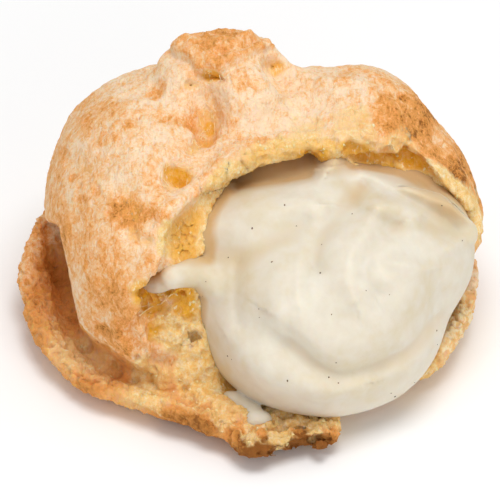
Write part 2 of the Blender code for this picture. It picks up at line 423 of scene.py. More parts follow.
# Folds that the spatula left: (height, width on the left of the run, width on its right, stations). Each
# station is (x, up the slope).
CREAM_FOLDS = {
    "brow_crest": (1.1, 1.6, 3.2, ((-8.6, 14.6), (-6.1, 17.0), (0.0, 19.8), (5.3, 20.6), (10.5, 20.0))),
    "brow_valley": (-1.1, 2.4, 3.0, ((-6.5, 11.6), (0.0, 11.0), (4.4, 13.4), (9.0, 16.6))),
    "left_bulge": (1.0, 3.6, 3.6, ((5.8, 7.4), (5.0, 1.6))),
    "left_crease": (-0.6, 1.5, 1.1, ((-2.0, 9.4), (-2.4, 4.8), (-2.0, -0.4))),
    "left_cheek": (0.6, 2.4, 2.0, ((-6.0, 7.0), (-6.0, 2.0), (-4.6, -2.0))),
    "middle_ridge": (0.7, 2.2, 1.4, ((11.6, 17.4), (9.8, 13.0), (8.9, 8.4), (8.4, 3.0))),
    "middle_valley": (-1.1, 1.7, 2.1, ((19.4, 22.2), (15.6, 18.4), (12.4, 14.0), (11.0, 9.4))),
    "long_ridge": (1.1, 3.0, 2.0, ((22.0, 18.8), (20.6, 14.8), (18.5, 11.4), (17.6, 7.6), (18.2, 3.6))),
    "whorl_valley": (-1.0, 1.5, 2.4, ((25.2, 15.8), (22.0, 13.6), (20.1, 10.4), (19.6, 7.0), (21.0, 4.6))),
    "whorl_rise": (0.5, 3.4, 1.5, ((20.4, 4.6), (22.6, 6.3), (25.4, 7.6), (30.0, 8.2))),
    "whorl_nick": (0.35, 1.0, 0.6, ((24.6, 9.9), (27.6, 9.2), (30.4, 8.5))),
    "brow_lump": (1.3, 1.9, 1.5, ((22.4, 19.4), (25.6, 19.8), (28.8, 18.2))),
    "lump_shade": (-0.5, 1.1, 1.3, ((21.8, 17.2), (24.6, 16.3), (27.4, 15.6))),
    "top_dip": (-0.8, 1.6, 1.8, ((15.0, 25.0), (17.0, 22.8), (18.4, 20.6))),
    "lower_crest": (1.1, 4.4, 1.5, ((5.0, 0.2), (9.0, -2.2), (12.4, -5.0), (16.6, -6.8), (21.0, -5.4),
                                    (26.6, -2.6), (29.6, 1.4))),
    "lower_crease": (-1.2, 1.2, 2.4, ((6.4, -3.2), (8.6, -4.8), (11.4, -7.6), (15.6, -9.4), (20.6, -8.2),
                                      (27.6, -5.0), (31.6, 0.0))),
    "lower_roll": (1.2, 3.0, 1.6, ((-3.4, -4.2), (-0.6, -8.0), (4.0, -11.0), (9.0, -12.2), (14.0, -12.4),
                                   (19.0, -11.4))),
    "right_ridge": (1.0, 1.2, 1.2, ((34.4, 12.2), (36.4, 13.7), (38.6, 13.2))),
    "right_hollow": (-1.3, 2.2, 1.6, ((30.6, 16.2), (34.2, 15.2), (38.0, 16.4))),
    "right_crease": (-0.4, 1.2, 1.2, ((31.4, 7.2), (33.4, 2.8), (33.0, -2.0))),
    "top_smear": (1.3, 1.1, 1.1, ((19.3, 25.6), (23.2, 24.1), (26.8, 22.8), (30.8, 21.0), (35.2, 19.4),
                                  (38.6, 17.4))),
    "smear_gap": (-0.9, 1.3, 1.5, ((19.6, 23.2), (24.0, 21.6), (28.5, 20.4))),
    "top_peak": (2.6, 2.2, 1.6, ((14.0, 26.4), (15.2, 28.6), (16.4, 30.0))),
    "foot_crease": (-0.6, 1.2, 2.0, ((-1.0, -10.0), (2.4, -12.8), (8.0, -14.2), (14.0, -14.6), (20.0, -13.4),
                                     (26.0, -10.4))),
    "recess": (-4.2, 4.4, 1.6, ((-2.0, 23.8), (4.0, 24.6), (10.0, 25.6))),
    "roof_dip": (1.6, 4.0, 3.6, ((15.0, 28.6), (20.0, 28.4), (30.0, 24.0), (37.0, 18.0))),
    "wedge": (-0.9, 2.2, 2.6, ((19.0, 29.0), (26.0, 26.6), (32.0, 22.6))),
}
# Cream that stands out past the bulge: (start, end) on the face, and at each end its radius and how deep.
CREAM_STRANDS = {
    "left_tip": ((-10.4, 8.0), (-5.0, 6.6), (1.6, 3.4), (1.6, 3.4)),
    "pocket_strand": ((-17.0, 6.4), (-13.4, 7.2), (2.0, 1.3), (-1.3, -1.0)),
    "pocket_neck": ((-13.4, 7.2), (-8.4, 8.2), (1.3, 2.2), (-1.0, 0.5)),
    "foot_smear": ((-3.4, -13.8), (1.0, -17.0), (1.2, 1.4), (0.2, 0.3)),
    "foot_dab": ((0.4, -17.4), (2.6, -17.6), (1.3, 0.9), (0.5, 0.4)),
    "right_smear": ((26.6, 21.2), (32.4, 19.4), (1.5, 1.9), (1.4, 1.3)),
    "edge_smear": ((32.4, 19.4), (37.6, 14.6), (1.9, 1.7), (1.3, 1.1)),
}


def fold_rise(places, folds):
    """How far folds lift places on the face."""
    total = np.zeros(len(places))
    for height, left, right, stations in folds.values():
        run = curve_through(stations)
        low, high = run.min(axis=0) - 3 * max(left, right), run.max(axis=0) + 3 * max(left, right)
        near = np.all((places > low) & (places < high), axis=1)
        side, _ = beside(places[near], run)
        width = np.where(side > 0, left, right)
        total[near] += height * np.exp(-((side / width) ** 2))
    return total


def cream_skin(block, cad, shell):
    """The filling's outer skin: (points, quads, how much each place takes the crust's tint and painted
    shade).
    """
    values = blurred(block.distance(cad), CREAM_BLUR) - CREAM_OVERLAP
    whole = np.minimum(values, block.distance(shell))
    for start, end, radii, sunk in CREAM_STRANDS.values():
        ends = block.landing(whole, (start, end)) - OUTWARD * np.array(sunk)[:, None]
        rope(block, values, ends, radii, count=14, blend=1.0)
    points, quads = island(*block.skin(values))
    faces = on_face(points)
    facing = np.clip(block.uphill(values, points) @ OUTWARD / 0.45, 0, 1)
    rise = fold_rise(faces[:, :2], CREAM_FOLDS)
    points = points + OUTWARD * (rise * facing)[:, None]
    # Creases and the recess take painted shade, more the deeper the folds sink.
    valley = (0.35 * smoothstep(0.15, 1.3, -rise) + 0.65 * smoothstep(1.2, 2.6, -rise)) * facing
    way = block.uphill(values, points)
    points += way * (layered(points, CREAM_LUMP_SIZE, 2, seed=5) * CREAM_LUMP_HEIGHT)[:, None]
    # Painted shade under the roof's torn edge, where its crumb hangs over the cream.
    under_roof = np.abs(beside(faces[:, :2], curve_through(ROOF_CRUMB, 4)[:, :2])[0])
    shade = 0.8 * (1 - smoothstep(*UNDER_ROOF, under_roof)) * facing
    # Beside the crust the cream takes the crust's tint, partly painted shade.
    near = 1 - smoothstep(*BESIDE_CRUST, block.sampled(block.distance(shell), points))
    # The left edge of the bulge and the foot take less of the crust's tint and painted shade than the rest.
    tint = 0.3 + 0.7 * smoothstep(-13.0, -7.0, points[:, 0]) + 0.7 * smoothstep(-13.0, -16.0, points[:, 0])
    tint *= 1 - 0.8 * smoothstep(-11.0, -13.0, faces[:, 1])
    shade = np.maximum.reduce([shade, valley, near * tint])
    return points, quads, shade


# ---------------------------------------------------------------- what shows from the front

def widened(heights, reach):
    """A height map whose high places spread over a reach in cells on each side."""
    padded = np.pad(heights, reach, mode="edge")
    steps = range(2 * reach + 1)
    return np.max([padded[i:i + heights.shape[0], j:j + heights.shape[1]] for i in steps for j in steps
                   if math.hypot(i - reach, j - reach) <= reach], axis=0)


def spanned(heights, reach):
    """A height map with its narrow hollows bridged over, up to a reach in cells on each side."""
    return -widened(-widened(heights, reach), reach)


class FaceMap:
    """What a look straight into the torn face meets, on a flat grid of places.

    It holds the depth of the first skin met, the gap to the nearest open cream, a lid over narrow hollows,
    and how far each pit lies under that lid.
    """

    LOW = np.array((-44.0, -30.0))
    HIGH = np.array((44.0, 56.0))
    STEP = 1.0
    LID_REACH = 4
    PIT_REACH = 2
    DEEPEST_PIT = 6
    OPEN_DEPTH = (-15, -9)

    def __init__(self, block, shell, cream):
        self.count = tuple(((self.HIGH - self.LOW) / self.STEP).astype(int) + 1)
        axes = [low + np.arange(n) * self.STEP for low, n in zip(self.LOW, self.count)]
        grid = np.stack(np.meshgrid(*axes, indexing="ij"), axis=-1).reshape(-1, 2)
        met = block.landing(np.minimum(shell, cream), grid)
        missed = block.sampled(np.minimum(shell, cream), met) > block.voxel
        self.depth = np.where(missed, NOTHING, met @ OUTWARD).reshape(self.count)
        solid = self.depth > NOTHING + 1
        bare = block.sampled(cream, met) < block.sampled(shell, met)
        open_cream = grid[bare & solid.ravel()]
        gaps = np.full(len(grid), np.inf)
        for place in open_cream:
            gaps = np.minimum(gaps, np.sum((grid - place) ** 2, axis=1))
        self.gap = np.sqrt(gaps).reshape(self.count)
        self.lid = spanned(self.depth, self.LID_REACH)
        floored = np.where(solid, self.lid - self.depth, 0)
        self.pit = widened(np.minimum(floored, self.DEEPEST_PIT), self.PIT_REACH)

    def read(self, table, places):
        """A table's values at places, linear between them."""
        return between_cells(table, (places - self.LOW) / self.STEP)

    def sunk_share(self, faces):
        """How far down a hollow of the front points lie, from 0 to 1."""
        hollow = smoothstep(0.5, 1.8, self.read(self.pit, faces[:, :2])) * self.open_share(faces)
        return hollow * smoothstep(0.6, 2.8, self.read(self.lid, faces[:, :2]) - faces[:, 2])

    def open_share(self, faces):
        """How much points lie at the torn front, from 0 to 1."""
        return smoothstep(*self.OPEN_DEPTH, faces[:, 2] - self.read(self.depth, faces[:, :2]))


# ---------------------------------------------------------------- the shell's shape

# Passes of blur that round the CAD solid, and those that tell proud places from sunk ones.
SHELL_BLUR = 3
PROUD_BLUR = 10
# Hollows that bubbles and the tear left: (place on the face, radii across, up and inwards, how deep the
# middle lies, how soft the rim is).
HOLLOWS = {
    "pocket": ((-17.2, 5.2), (3.8, 3.2, 2.6), -2.0, 0.5),
    "pocket_right": ((-12.6, 6.0), (4.4, 2.4, 2.4), -1.0, 0.5),
    "pocket_recess": ((-12.0, 2.6), (1.6, 2.2, 1.6), -0.2, 0.5),
    "round_hole": ((-9.6, -2.9), (1.5, 1.3, 2.2), 0.6, 0.3),
    "roof_slit": ((-3.8, 30.0), (1.7, 0.5, 0.8), 0.0, 0.3),
    "roof_notch": ((10.6, 28.0), (1.5, 1.3, 1.4), 0.2, 0.6),
    "wedge_high": ((17.8, 29.2), (1.8, 1.1, 1.2), 0.2, 0.8),
    "wedge_upper": ((20.2, 28.2), (2.2, 1.5, 1.3), 0.2, 0.8),
    "wedge_middle": ((22.8, 26.8), (2.2, 1.6, 1.3), 0.2, 0.8),
    "wedge_low": ((25.4, 25.0), (2.2, 1.4, 1.3), 0.2, 0.8),
    "wedge_end": ((28.0, 23.2), (1.9, 0.9, 1.0), 0.1, 0.8),
    "crumb_nick_high": ((-7.0, 13.2), (0.9, 1.1, 1.4), 0.3, 0.3),
    "crumb_nick_low": ((-8.6, 9.8), (1.0, 1.2, 1.4), 0.3, 0.3),
    "tray_bubble": ((-29.0, -5.0), (1.4, 1.5, 0.9), -0.3, 0.3),
    "hem_bubble": ((-19.4, -11.8), (1.5, 1.1, 0.8), -0.2, 0.3),
    "slope_bubble": ((-12.7, -13.4), (1.4, 1.1, 0.9), -0.2, 0.3),
    "foot_bubble": ((-5.2, -17.9), (1.7, 1.2, 1.1), 0.0, 0.3),
    "tongue_split": ((5.4, -22.8), (2.4, 0.6, 2.6), 0.8, 0.3),
    "tongue_split_middle": ((8.8, -22.0), (2.6, 0.8, 3.2), 0.9, 0.3),
    "tongue_split_end": ((12.2, -20.8), (2.2, 0.7, 2.6), 0.7, 0.3),
    "tongue_hole": ((4.6, -19.4), (1.8, 1.3, 1.8), 0.5, 0.3),
    "tongue_nick": ((8.4, -19.0), (1.0, 0.8, 1.2), 0.3, 0.3),
    "rim_pit": ((-33.6, -6.0), (0.5, 0.6, 0.7), 0.1, 0.2),
}
# Soft pits where thin dough sank: (middle on the face, half width and height, depth, how golden).
# How golden a pit is sets its painted golden shade, with the crumb's own deeper gold.
SOFT_PITS = {
    "throat": ((-7.6, 34.0), (1.8, 3.0), 0.6, 0.6),
    "throat_hole": ((-7.4, 32.6), (1.1, 1.6), 1.9, 1.0),
    "throat_step": ((-9.6, 29.4), (1.4, 1.2), 1.1, 0.6),
    "crater": ((-12.4, 24.6), (3.0, 2.4), 1.3, 0.95),
    "crater_hole": ((-11.4, 23.8), (1.2, 1.0), 1.4, 1.0),
    "knob_pit": ((-6.7, 41.9), (2.2, 1.1), 1.8, 0.9),
    "knob_pit_left": ((-10.2, 40.2), (1.8, 0.9), 0.9, 0.5),
    "knob_hollow": ((4.6, 43.4), (1.9, 1.9), 1.3, 0.75),
    "torn_side": ((-11.4, 13.8), (2.4, 4.0), 1.5, 0.55),
    "roof_pit": ((19.9, 35.2), (1.0, 0.8), 0.7, 0.4),
    "lobe_pit": ((-20.3, 14.6), (1.5, 1.3), 1.0, 0.5),
    "lobe_pit_right": ((-17.8, 13.2), (1.3, 1.1), 0.9, 0.5),
    "lobe_dimple": ((-24.0, 28.0), (2.4, 1.6), 0.6, 0.1),
    "lobe_dimple_low": ((-20.6, 18.0), (2.6, 1.7), 1.0, 0.2),
}
# Dents whose edges are rubbed soft: (half width, stations).
RUBBED = (
    (3.6, ((-7.2, 39.6), (-7.4, 34.0), (-9.4, 29.6), (-12.2, 24.4))),
    (3.2, ((2.6, 47.0), (5.2, 43.6), (7.0, 40.2))),
)
RUB_PASSES = 24
# Stretches of crumb of a deeper gold, partly its own and partly painted shade: (how golden, half width,
# stations).
GOLD_RUNS = (
    (0.4, 2.0, ((-1.6, 27.4), (5.3, 28.8), (10.4, 29.4), (15.0, 29.6))),
    (0.8, 2.3, ((17.0, 29.8), (20.8, 27.8), (24.2, 25.6), (28.4, 23.2))),
    (0.85, 1.9, ((9.0, 28.0), (12.2, 28.2))),
    (0.7, 3.2, ((-10.0, 17.6), (-11.6, 14.2), (-11.4, 10.4))),
    (0.9, 2.6, ((-19.0, 4.6), (-12.0, 5.0), (-11.4, 1.8))),
)
# Each hollow has smaller ones round its rim: how many, their share of its size, and how far out they sit.
RIM_NICKS = (5, (0.28, 0.5), 0.72)
# Gaps between the dome's hem and the saucer: (half width, height of the floor, stations).
TRENCHES = {
    "under_lobe": (2.0, 3.4, ((-34.6, 15.0), (-33.7, 11.0), (-32.8, 4.9), (-31.6, 0.0))),
    "under_side": (1.1, 4.6, ((-32.0, 1.0), (-30.4, -2.8), (-27.6, -6.6), (-23.6, -9.4))),
    "under_hem": (0.8, 4.6, ((-24.0, -9.6), (-20.8, -10.8))),
}
# Crumb that fills the foot of the tear: (start, end, radius, how deep it lies).
CRUMB_BRIDGES = {
    "left_stay": ((-15.6, -2.6), (-13.2, -12.0), 2.6, 1.8),
    "middle_stay": ((-12.6, -2.2), (-9.6, -11.6), 2.8, 1.8),
    "right_stay": ((-9.8, -0.6), (-6.6, -12.0), 2.6, 1.8),
    "toe": ((-8.6, -14.0), (-2.0, -17.4), 2.4, 1.2),
    "pocket_floor": ((-18.0, 5.4), (-12.6, 5.8), 2.8, 1.4),
}
# The crust's edge beside the cream on the right: (x, up the slope, out of the face, radius) stations.
CRUST_EDGE = ((39.0, 17.6, 16.0, 1.4), (38.6, 14.0, 16.5, 1.3), (38.2, 11.6, 15.6, 0.9))
# The ragged lower edge of the browned plate on the knob, and the edge where the left lobe tore.
KNOB_EDGE = ((-14.6, 48.0), (-13.1, 46.6), (-10.3, 45.2), (-9.2, 43.6), (-6.4, 42.7), (-5.0, 43.6),
             (-3.0, 44.7), (-0.8, 45.8), (1.5, 46.8), (4.6, 47.6), (7.8, 46.2))
TORN_LIP = ((-15.3, -8.6), (-17.6, -7.9), (-18.4, -6.2), (-19.7, -5.4), (-21.8, -1.6), (-20.0, 0.8),
            (-19.2, 2.8), (-20.5, 4.9), (-18.0, 7.4), (-16.4, 9.6))
# Ridges, creases and torn steps: (height, width on the left of the run, width on its right, stations).
SHELL_FOLDS = {
    "crack": (-0.6, 2.4, 2.2, ((-10.0, 40.2), (-6.9, 38.3), (-6.8, 35.0), (-8.3, 30.4), (-10.5, 27.6),
                              (-13.4, 21.4))),
    "crease": (-0.6, 1.4, 1.1, ((2.1, 47), (5.4, 39.1), (8.8, 37.0), (17.5, 36.0), (26.3, 29.4),
                               (29.8, 23.3))),
    "pale_ridge": (0.6, 0.8, 0.6, ((11.6, 40.5), (17.4, 41), (21.6, 39.4), (26.3, 34.4))),
    "neck_ridge": (0.9, 0.6, 0.5, ((1.6, 46.8), (3.4, 43.0), (5.6, 38.8))),
    "peach_ridge": (1.4, 1.4, 2.2, ((-14.9, 18), (-11.4, 21.5), (-6.1, 25.1), (-0.9, 27.7))),
    "knob_plate": (1.1, 4.5, 0.4, KNOB_EDGE),
    "knob_under": (-1.0, 0.4, 1.3, tuple((x, up - 0.7) for x, up in KNOB_EDGE[:8])),
    "knob_fold": (0.7, 0.7, 0.9, ((-12.0, 48.6), (-7.0, 46.6), (-2.4, 47.6), (2.0, 49.6))),
    "knob_gully": (-0.7, 0.8, 0.6, ((-9.0, 47.0), (-4.0, 45.6), (0.6, 47.6))),
    "torn_lip": (1.2, 2.2, 0.35, TORN_LIP),
    "torn_step": (-0.9, 0.3, 2.0, TORN_LIP[:5]),
    "slope_shade": (-1.2, 1.2, 1.4, ((-16.0, -8.6), (-13.2, -6.2), (-10.4, -4.0))),
    "lobe_dent": (-0.7, 2.6, 2.2, ((-30.0, 26.0), (-24.0, 24.0), (-20.0, 19.6))),
    "lobe_swell": (0.8, 4.0, 4.0, ((-27.0, 12.0), (-25.0, 4.0))),
    "right_flap": (0.8, 0.4, 1.2, ((21.0, 43.0), (26.6, 39.4), (31.6, 35.0), (36.0, 27.6), (38.4, 19.0))),
}
# Families of bubbles burst open in the crumb: (how many, smallest and largest radius, share of it sunk, how
# far apart they keep).
BUBBLES = {
    "web": (90, 0.5, 1.0, 0.0, 0.84),
    "crumb": (620, 0.3, 1.0, -0.42, 0.8),
    "tray": (150, 0.5, 1.3, -0.35, 1.1),
    "crust": (160, 0.4, 0.9, -0.62, 1.6),
}
# Where the bubbles of the web lie: (middle on the face, half its width and height).
WEB_PATCHES = (
    ((-13.8, 0.4), (4.4, 4.6)),
)
# Places where the crumb shows further from the cream: (middle on the face, reach, share).
CRUMB_PATCHES = (
    ((-12.2, 13.8), 4.4, 0.9),
    ((-8.6, -10.4), 6.4, 1.0),
    ((-13.2, -2.0), 5.2, 0.95),
    ((-4.6, -15.4), 4.0, 0.8),
    ((10.0, 31.4), 4.4, 0.55),
    ((18.0, 33.0), 5.0, 0.6),
    ((26.0, 29.0), 4.6, 0.6),
    ((11.0, -18.2), 3.0, 0.9),
    ((5.0, -19.2), 3.4, 0.9),
    ((0.2, -20.0), 2.6, 0.85),
    ((-17.4, -11.4), 5.6, 0.85),
    ((-25.6, -8.4), 3.8, 0.6),
    ((-30.6, -5.6), 3.6, 0.65),
    ((-33.2, -1.0), 2.4, 0.45),
)
# How far from the cream the crumb shows, from fully to not at all, and how ragged its edge is.
CRUMB_REACH = (1.6, 5.0)
CRUMB_RAGGED_SIZE = 3.4
CRUMB_RAGGED = 1.6
# Where the saucer's parts lie. Each range eases from none to all: out from the axis, or up from the floor.
TRAY_OUT = (28, 32)
TRAY_TOP = (9, 14)
GUTTER_EDGE = (38.0, 39.5)
GUTTER_TOP = (7, 12)
RIM_OUT = (33.0, 35.5)
RIM_FOOT = (2.0, 4.0)
RIM_TOP = (13, 16)


def bubble_sites(points, ways, weights, count, small, large, crowding, seed):
    """Scattered places on a skin for bubbles that keep apart: (place, way out, radius) of each."""
    rng = np.random.default_rng(seed)
    chosen = rng.choice(len(points), size=count * 5, p=weights / weights.sum())
    radii = small + (large - small) * rng.random(len(chosen)) ** 1.6
    places, kept = np.zeros((0, 3)), []
    for index, radius in zip(chosen, radii):
        reach = crowding * (radius + np.array([r for _, r in kept]))
        if len(kept) and np.any(np.linalg.norm(places - points[index], axis=1) < reach):
            continue
        kept.append((index, radius))
        places = np.vstack([places, points[index]])
        if len(kept) == count:
            break
    return [(points[index], ways[index], radius) for index, radius in kept]


def crumb_share(front, points):
    """Where the soft yellow crumb shows instead of crust, from 0 to 1."""
    faces = on_face(points)
    ragged = layered(points, CRUMB_RAGGED_SIZE, 3, seed=71) * CRUMB_RAGGED
    gap = front.read(front.gap, faces[:, :2])
    share = 1 - smoothstep(*CRUMB_REACH, gap + ragged)
    share *= 1 - 0.85 * smoothstep(32, 35, faces[:, 0]) * smoothstep(16, 10, faces[:, 1])
    for middle, reach, most in CRUMB_PATCHES:
        away = np.linalg.norm(faces[:, :2] - middle, axis=1)
        share = np.maximum(share, most * (1 - smoothstep(0.55 * reach, 1.1 * reach, away + ragged)))
    return share * front.open_share(faces)


def out_from_axis(points):
    """How far points lie from the upright axis."""
    return np.hypot(points[:, 0], points[:, 1])


def tray_share(points):
    """Where the saucer's inside shows, from 0 to 1."""
    out = smoothstep(*TRAY_OUT, out_from_axis(points))
    return out * (1 - smoothstep(*TRAY_TOP, points[:, 2])) * smoothstep(-1, -6, points[:, 1])


def gutter_share(points):
    """Where the gap between the dome and the saucer's rim runs on the left, from 0 to 1; the gap takes
    painted shade.
    """
    out = out_from_axis(points)
    left = smoothstep(-24, -28, points[:, 0]) * smoothstep(14, 8, points[:, 1])
    between = smoothstep(*TRAY_OUT, out) * (1 - smoothstep(*GUTTER_EDGE, out))
    return between * (1 - smoothstep(*GUTTER_TOP, points[:, 2])) * left


def rim_share(points):
    """Where the saucer's raised rim runs, from 0 to 1."""
    out = smoothstep(*RIM_OUT, out_from_axis(points)) * smoothstep(*RIM_FOOT, points[:, 2])
    return out * (1 - smoothstep(*RIM_TOP, points[:, 2]))


def add_crumb(block, values):
    """Adds the crumb's bridges, the crust's edge beside the cream, and the crumb under the roof."""
    for start, end, radius, sunk in CRUMB_BRIDGES.values():
        ends = block.landing(values, (start, end)) - OUTWARD * sunk
        rope(block, values, ends, (radius, radius), count=8, blend=1.2)
    for x, up, out, radius in curve_through(CRUST_EDGE, 4):
        ball(block, values, off_face(x, up, out), radius, add=True, blend=0.6, ragged=0.3)
    for number, (x, up, radius) in enumerate(curve_through(ROOF_CRUMB, 4)):
        centre = block.landing(values, (x, up + 0.8))[0] - OUTWARD * ROOF_CRUMB_SUNK
        uneven = radius * (1 + 0.2 * math.sin(2.4 * number))
        ball(block, values, centre, uneven, add=True, blend=1.4, ragged=0.35)


def open_hollows(block, values):
    """Opens the hollows, each with smaller ones round its rim."""
    rng = np.random.default_rng(7)
    count, (small, large), away = RIM_NICKS
    for place, radii, sunk, softness in HOLLOWS.values():
        centre = block.landing(values, place)[0] - OUTWARD * sunk
        radii = np.array(radii)
        ball(block, values, centre, radii, basis=FACE, blend=softness, ragged=0.3)
        for turn in rng.uniform(0, 2 * math.pi, count):
            way = np.array((math.cos(turn), math.sin(turn), rng.uniform(-0.3, 0.5)))
            nick = centre + (away * radii * way) @ FACE
            ball(block, values, nick, radii * rng.uniform(small, large), FACE, 0.15)


def burst_bubbles(block, values, front):
    """Bursts bubbles open in the crumb, the saucer and the crust."""
    points, _ = block.skin(values)
    ways = block.uphill(values, points)
    faces = on_face(points)
    facing = smoothstep(0.0, 0.5, ways @ OUTWARD)
    crumb = crumb_share(front, points) * facing
    in_web = [np.all(np.abs(faces[:, :2] - middle) < half, axis=1) for middle, half in WEB_PATCHES]
    # The last term of each leaves every place some chance, so that the shares always add up.
    weights = {
        "web": np.any(in_web, axis=0) * (front.open_share(faces) * facing) + 1e-9,
        "crumb": crumb**2 + 1e-6,
        "tray": tray_share(points) * smoothstep(0.1, 0.5, ways[:, 2]) + 1e-9,
        "crust": smoothstep(0.0, 0.3, ways[:, 2]) * (1 - crumb) + 1e-6,
    }
    for seed, (name, (count, small, large, sunk, crowding)) in enumerate(BUBBLES.items(), start=11):
        sites = bubble_sites(points, ways, weights[name], count, small, large, crowding, seed)
        for place, way, radius in sites:
            ball(block, values, place - way * radius * sunk, radius, blend=0.12)


def shell_skin(block, cad, cream):
    """The shell's outer skin: (points, quads, front map, how proud each place of the block stands)."""
    values = blurred(block.distance(cad), SHELL_BLUR)
    front = FaceMap(block, values, block.distance(cream))
    for width, stations in RUBBED:
        rubbed(block, values, width, stations, RUB_PASSES)
    for width, floor, stations in TRENCHES.values():
        trench(block, values, width, floor, stations)
    add_crumb(block, values)
    open_hollows(block, values)
    burst_bubbles(block, values, front)
    points, quads = island(*block.skin(values))
    return points, quads, front, values


# ---------------------------------------------------------------- finishes

def paint(red, green, blue):
    """A screen colour, 0 to 255 a channel, as Blender's linear one."""
    shares = [value / 255 for value in (red, green, blue)]
    return tuple(v / 12.92 if v < 0.04045 else ((v + 0.055) / 1.055) ** 2.4 for v in shares)


class Recipe:
    """A material whose nodes are added one after another."""

    def __init__(self, name, **sockets):
        self.material = bpy.data.materials.new(name)
        self.material.use_nodes = True
        self.nodes = self.material.node_tree.nodes
        self.shader = self.nodes["Principled BSDF"]
        for socket, value in sockets.items():
            self.shader.inputs[socket.replace("_", " ")].default_value = value
        self.place = self.nodes.new("ShaderNodeTexCoord").outputs["Object"]

    def link(self, source, target):
        self.material.node_tree.links.new(source, target)

    def put(self, value, target):
        """Sets a socket, or links another one into it."""
        if isinstance(value, bpy.types.NodeSocket):
            self.link(value, target)
        else:
            target.default_value = value

    def field(self, name):
        node = self.nodes.new("ShaderNodeAttribute")
        node.attribute_name = name
        return node.outputs["Fac"]

    def noise(self, size, detail=2.0, roughness=0.5, distortion=0.0, stretch=(1, 1, 1), turn=(0, 0, 0)):
        """Noise with lumps about size millimetres across, from 0 to 1."""
        place = self.place
        if stretch != (1, 1, 1) or turn != (0, 0, 0):
            mapping = self.nodes.new("ShaderNodeMapping")
            mapping.inputs["Rotation"].default_value = turn
            mapping.inputs["Scale"].default_value = stretch
            self.link(place, mapping.inputs["Vector"])
            place = mapping.outputs["Vector"]
        node = self.nodes.new("ShaderNodeTexNoise")
        node.inputs["Scale"].default_value = 1 / (size * MM)
        node.inputs["Detail"].default_value = detail
        node.inputs["Roughness"].default_value = roughness
        node.inputs["Distortion"].default_value = distortion
        self.link(place, node.inputs["Vector"])
        return node.outputs["Fac"]

    def sum(self, first, second, factor=1.0):
        """first + second * factor."""
        node = self.nodes.new("ShaderNodeMath")
        node.operation = "MULTIPLY_ADD"
        self.put(second, node.inputs[0])
        self.put(factor, node.inputs[1])
        self.put(first, node.inputs[2])
        return node.outputs[0]

    def stirred(self, base, layer, factor):
        """A base with a noise's swing about its middle added."""
        return self.sum(base, self.sum(-0.5, layer), factor)

    def spread(self, value, low, high, to_low=0.0, to_high=1.0):
        """Maps a range onto another, held at its ends."""
        node = self.nodes.new("ShaderNodeMapRange")
        for socket, number in zip(("From Min", "From Max", "To Min", "To Max"), (low, high, to_low, to_high)):
            node.inputs[socket].default_value = number
        self.put(value, node.inputs["Value"])
        return node.outputs["Result"]

    def ramp(self, value, *stops):
        node = self.nodes.new("ShaderNodeValToRGB")
        elements = node.color_ramp.elements
        while len(elements) < len(stops):
            elements.new(0.5)
        for element, (place, colour) in zip(elements, stops):
            element.position = place
            element.color = (*colour, 1)
        self.put(value, node.inputs["Fac"])
        return node.outputs["Color"]

    def mix(self, share, first, second):
        node = self.nodes.new("ShaderNodeMix")
        node.data_type = "RGBA"
        self.put(share, node.inputs[0])
        for value, socket in ((first, node.inputs[6]), (second, node.inputs[7])):
            self.put(value if isinstance(value, bpy.types.NodeSocket) else (*value, 1), socket)
        return node.outputs[2]

    def coat(self, colour, tone, smooth, rough):
        """Sets the colour, and a roughness that follows a noise's tone."""
        self.link(colour, self.shader.inputs["Base Color"])
        self.link(self.spread(tone, 0.3, 0.7, smooth, rough), self.shader.inputs["Roughness"])

    def bump(self, height, depth, strength=1.0):
        """Relief of a depth in millimetres, over any that was added before."""
        node = self.nodes.new("ShaderNodeBump")
        node.inputs["Strength"].default_value = strength
        node.inputs["Distance"].default_value = depth * MM
        self.put(height, node.inputs["Height"])
        if self.shader.inputs["Normal"].links:
            self.link(self.shader.inputs["Normal"].links[0].from_socket, node.inputs["Normal"])
        self.link(node.outputs["Normal"], self.shader.inputs["Normal"])


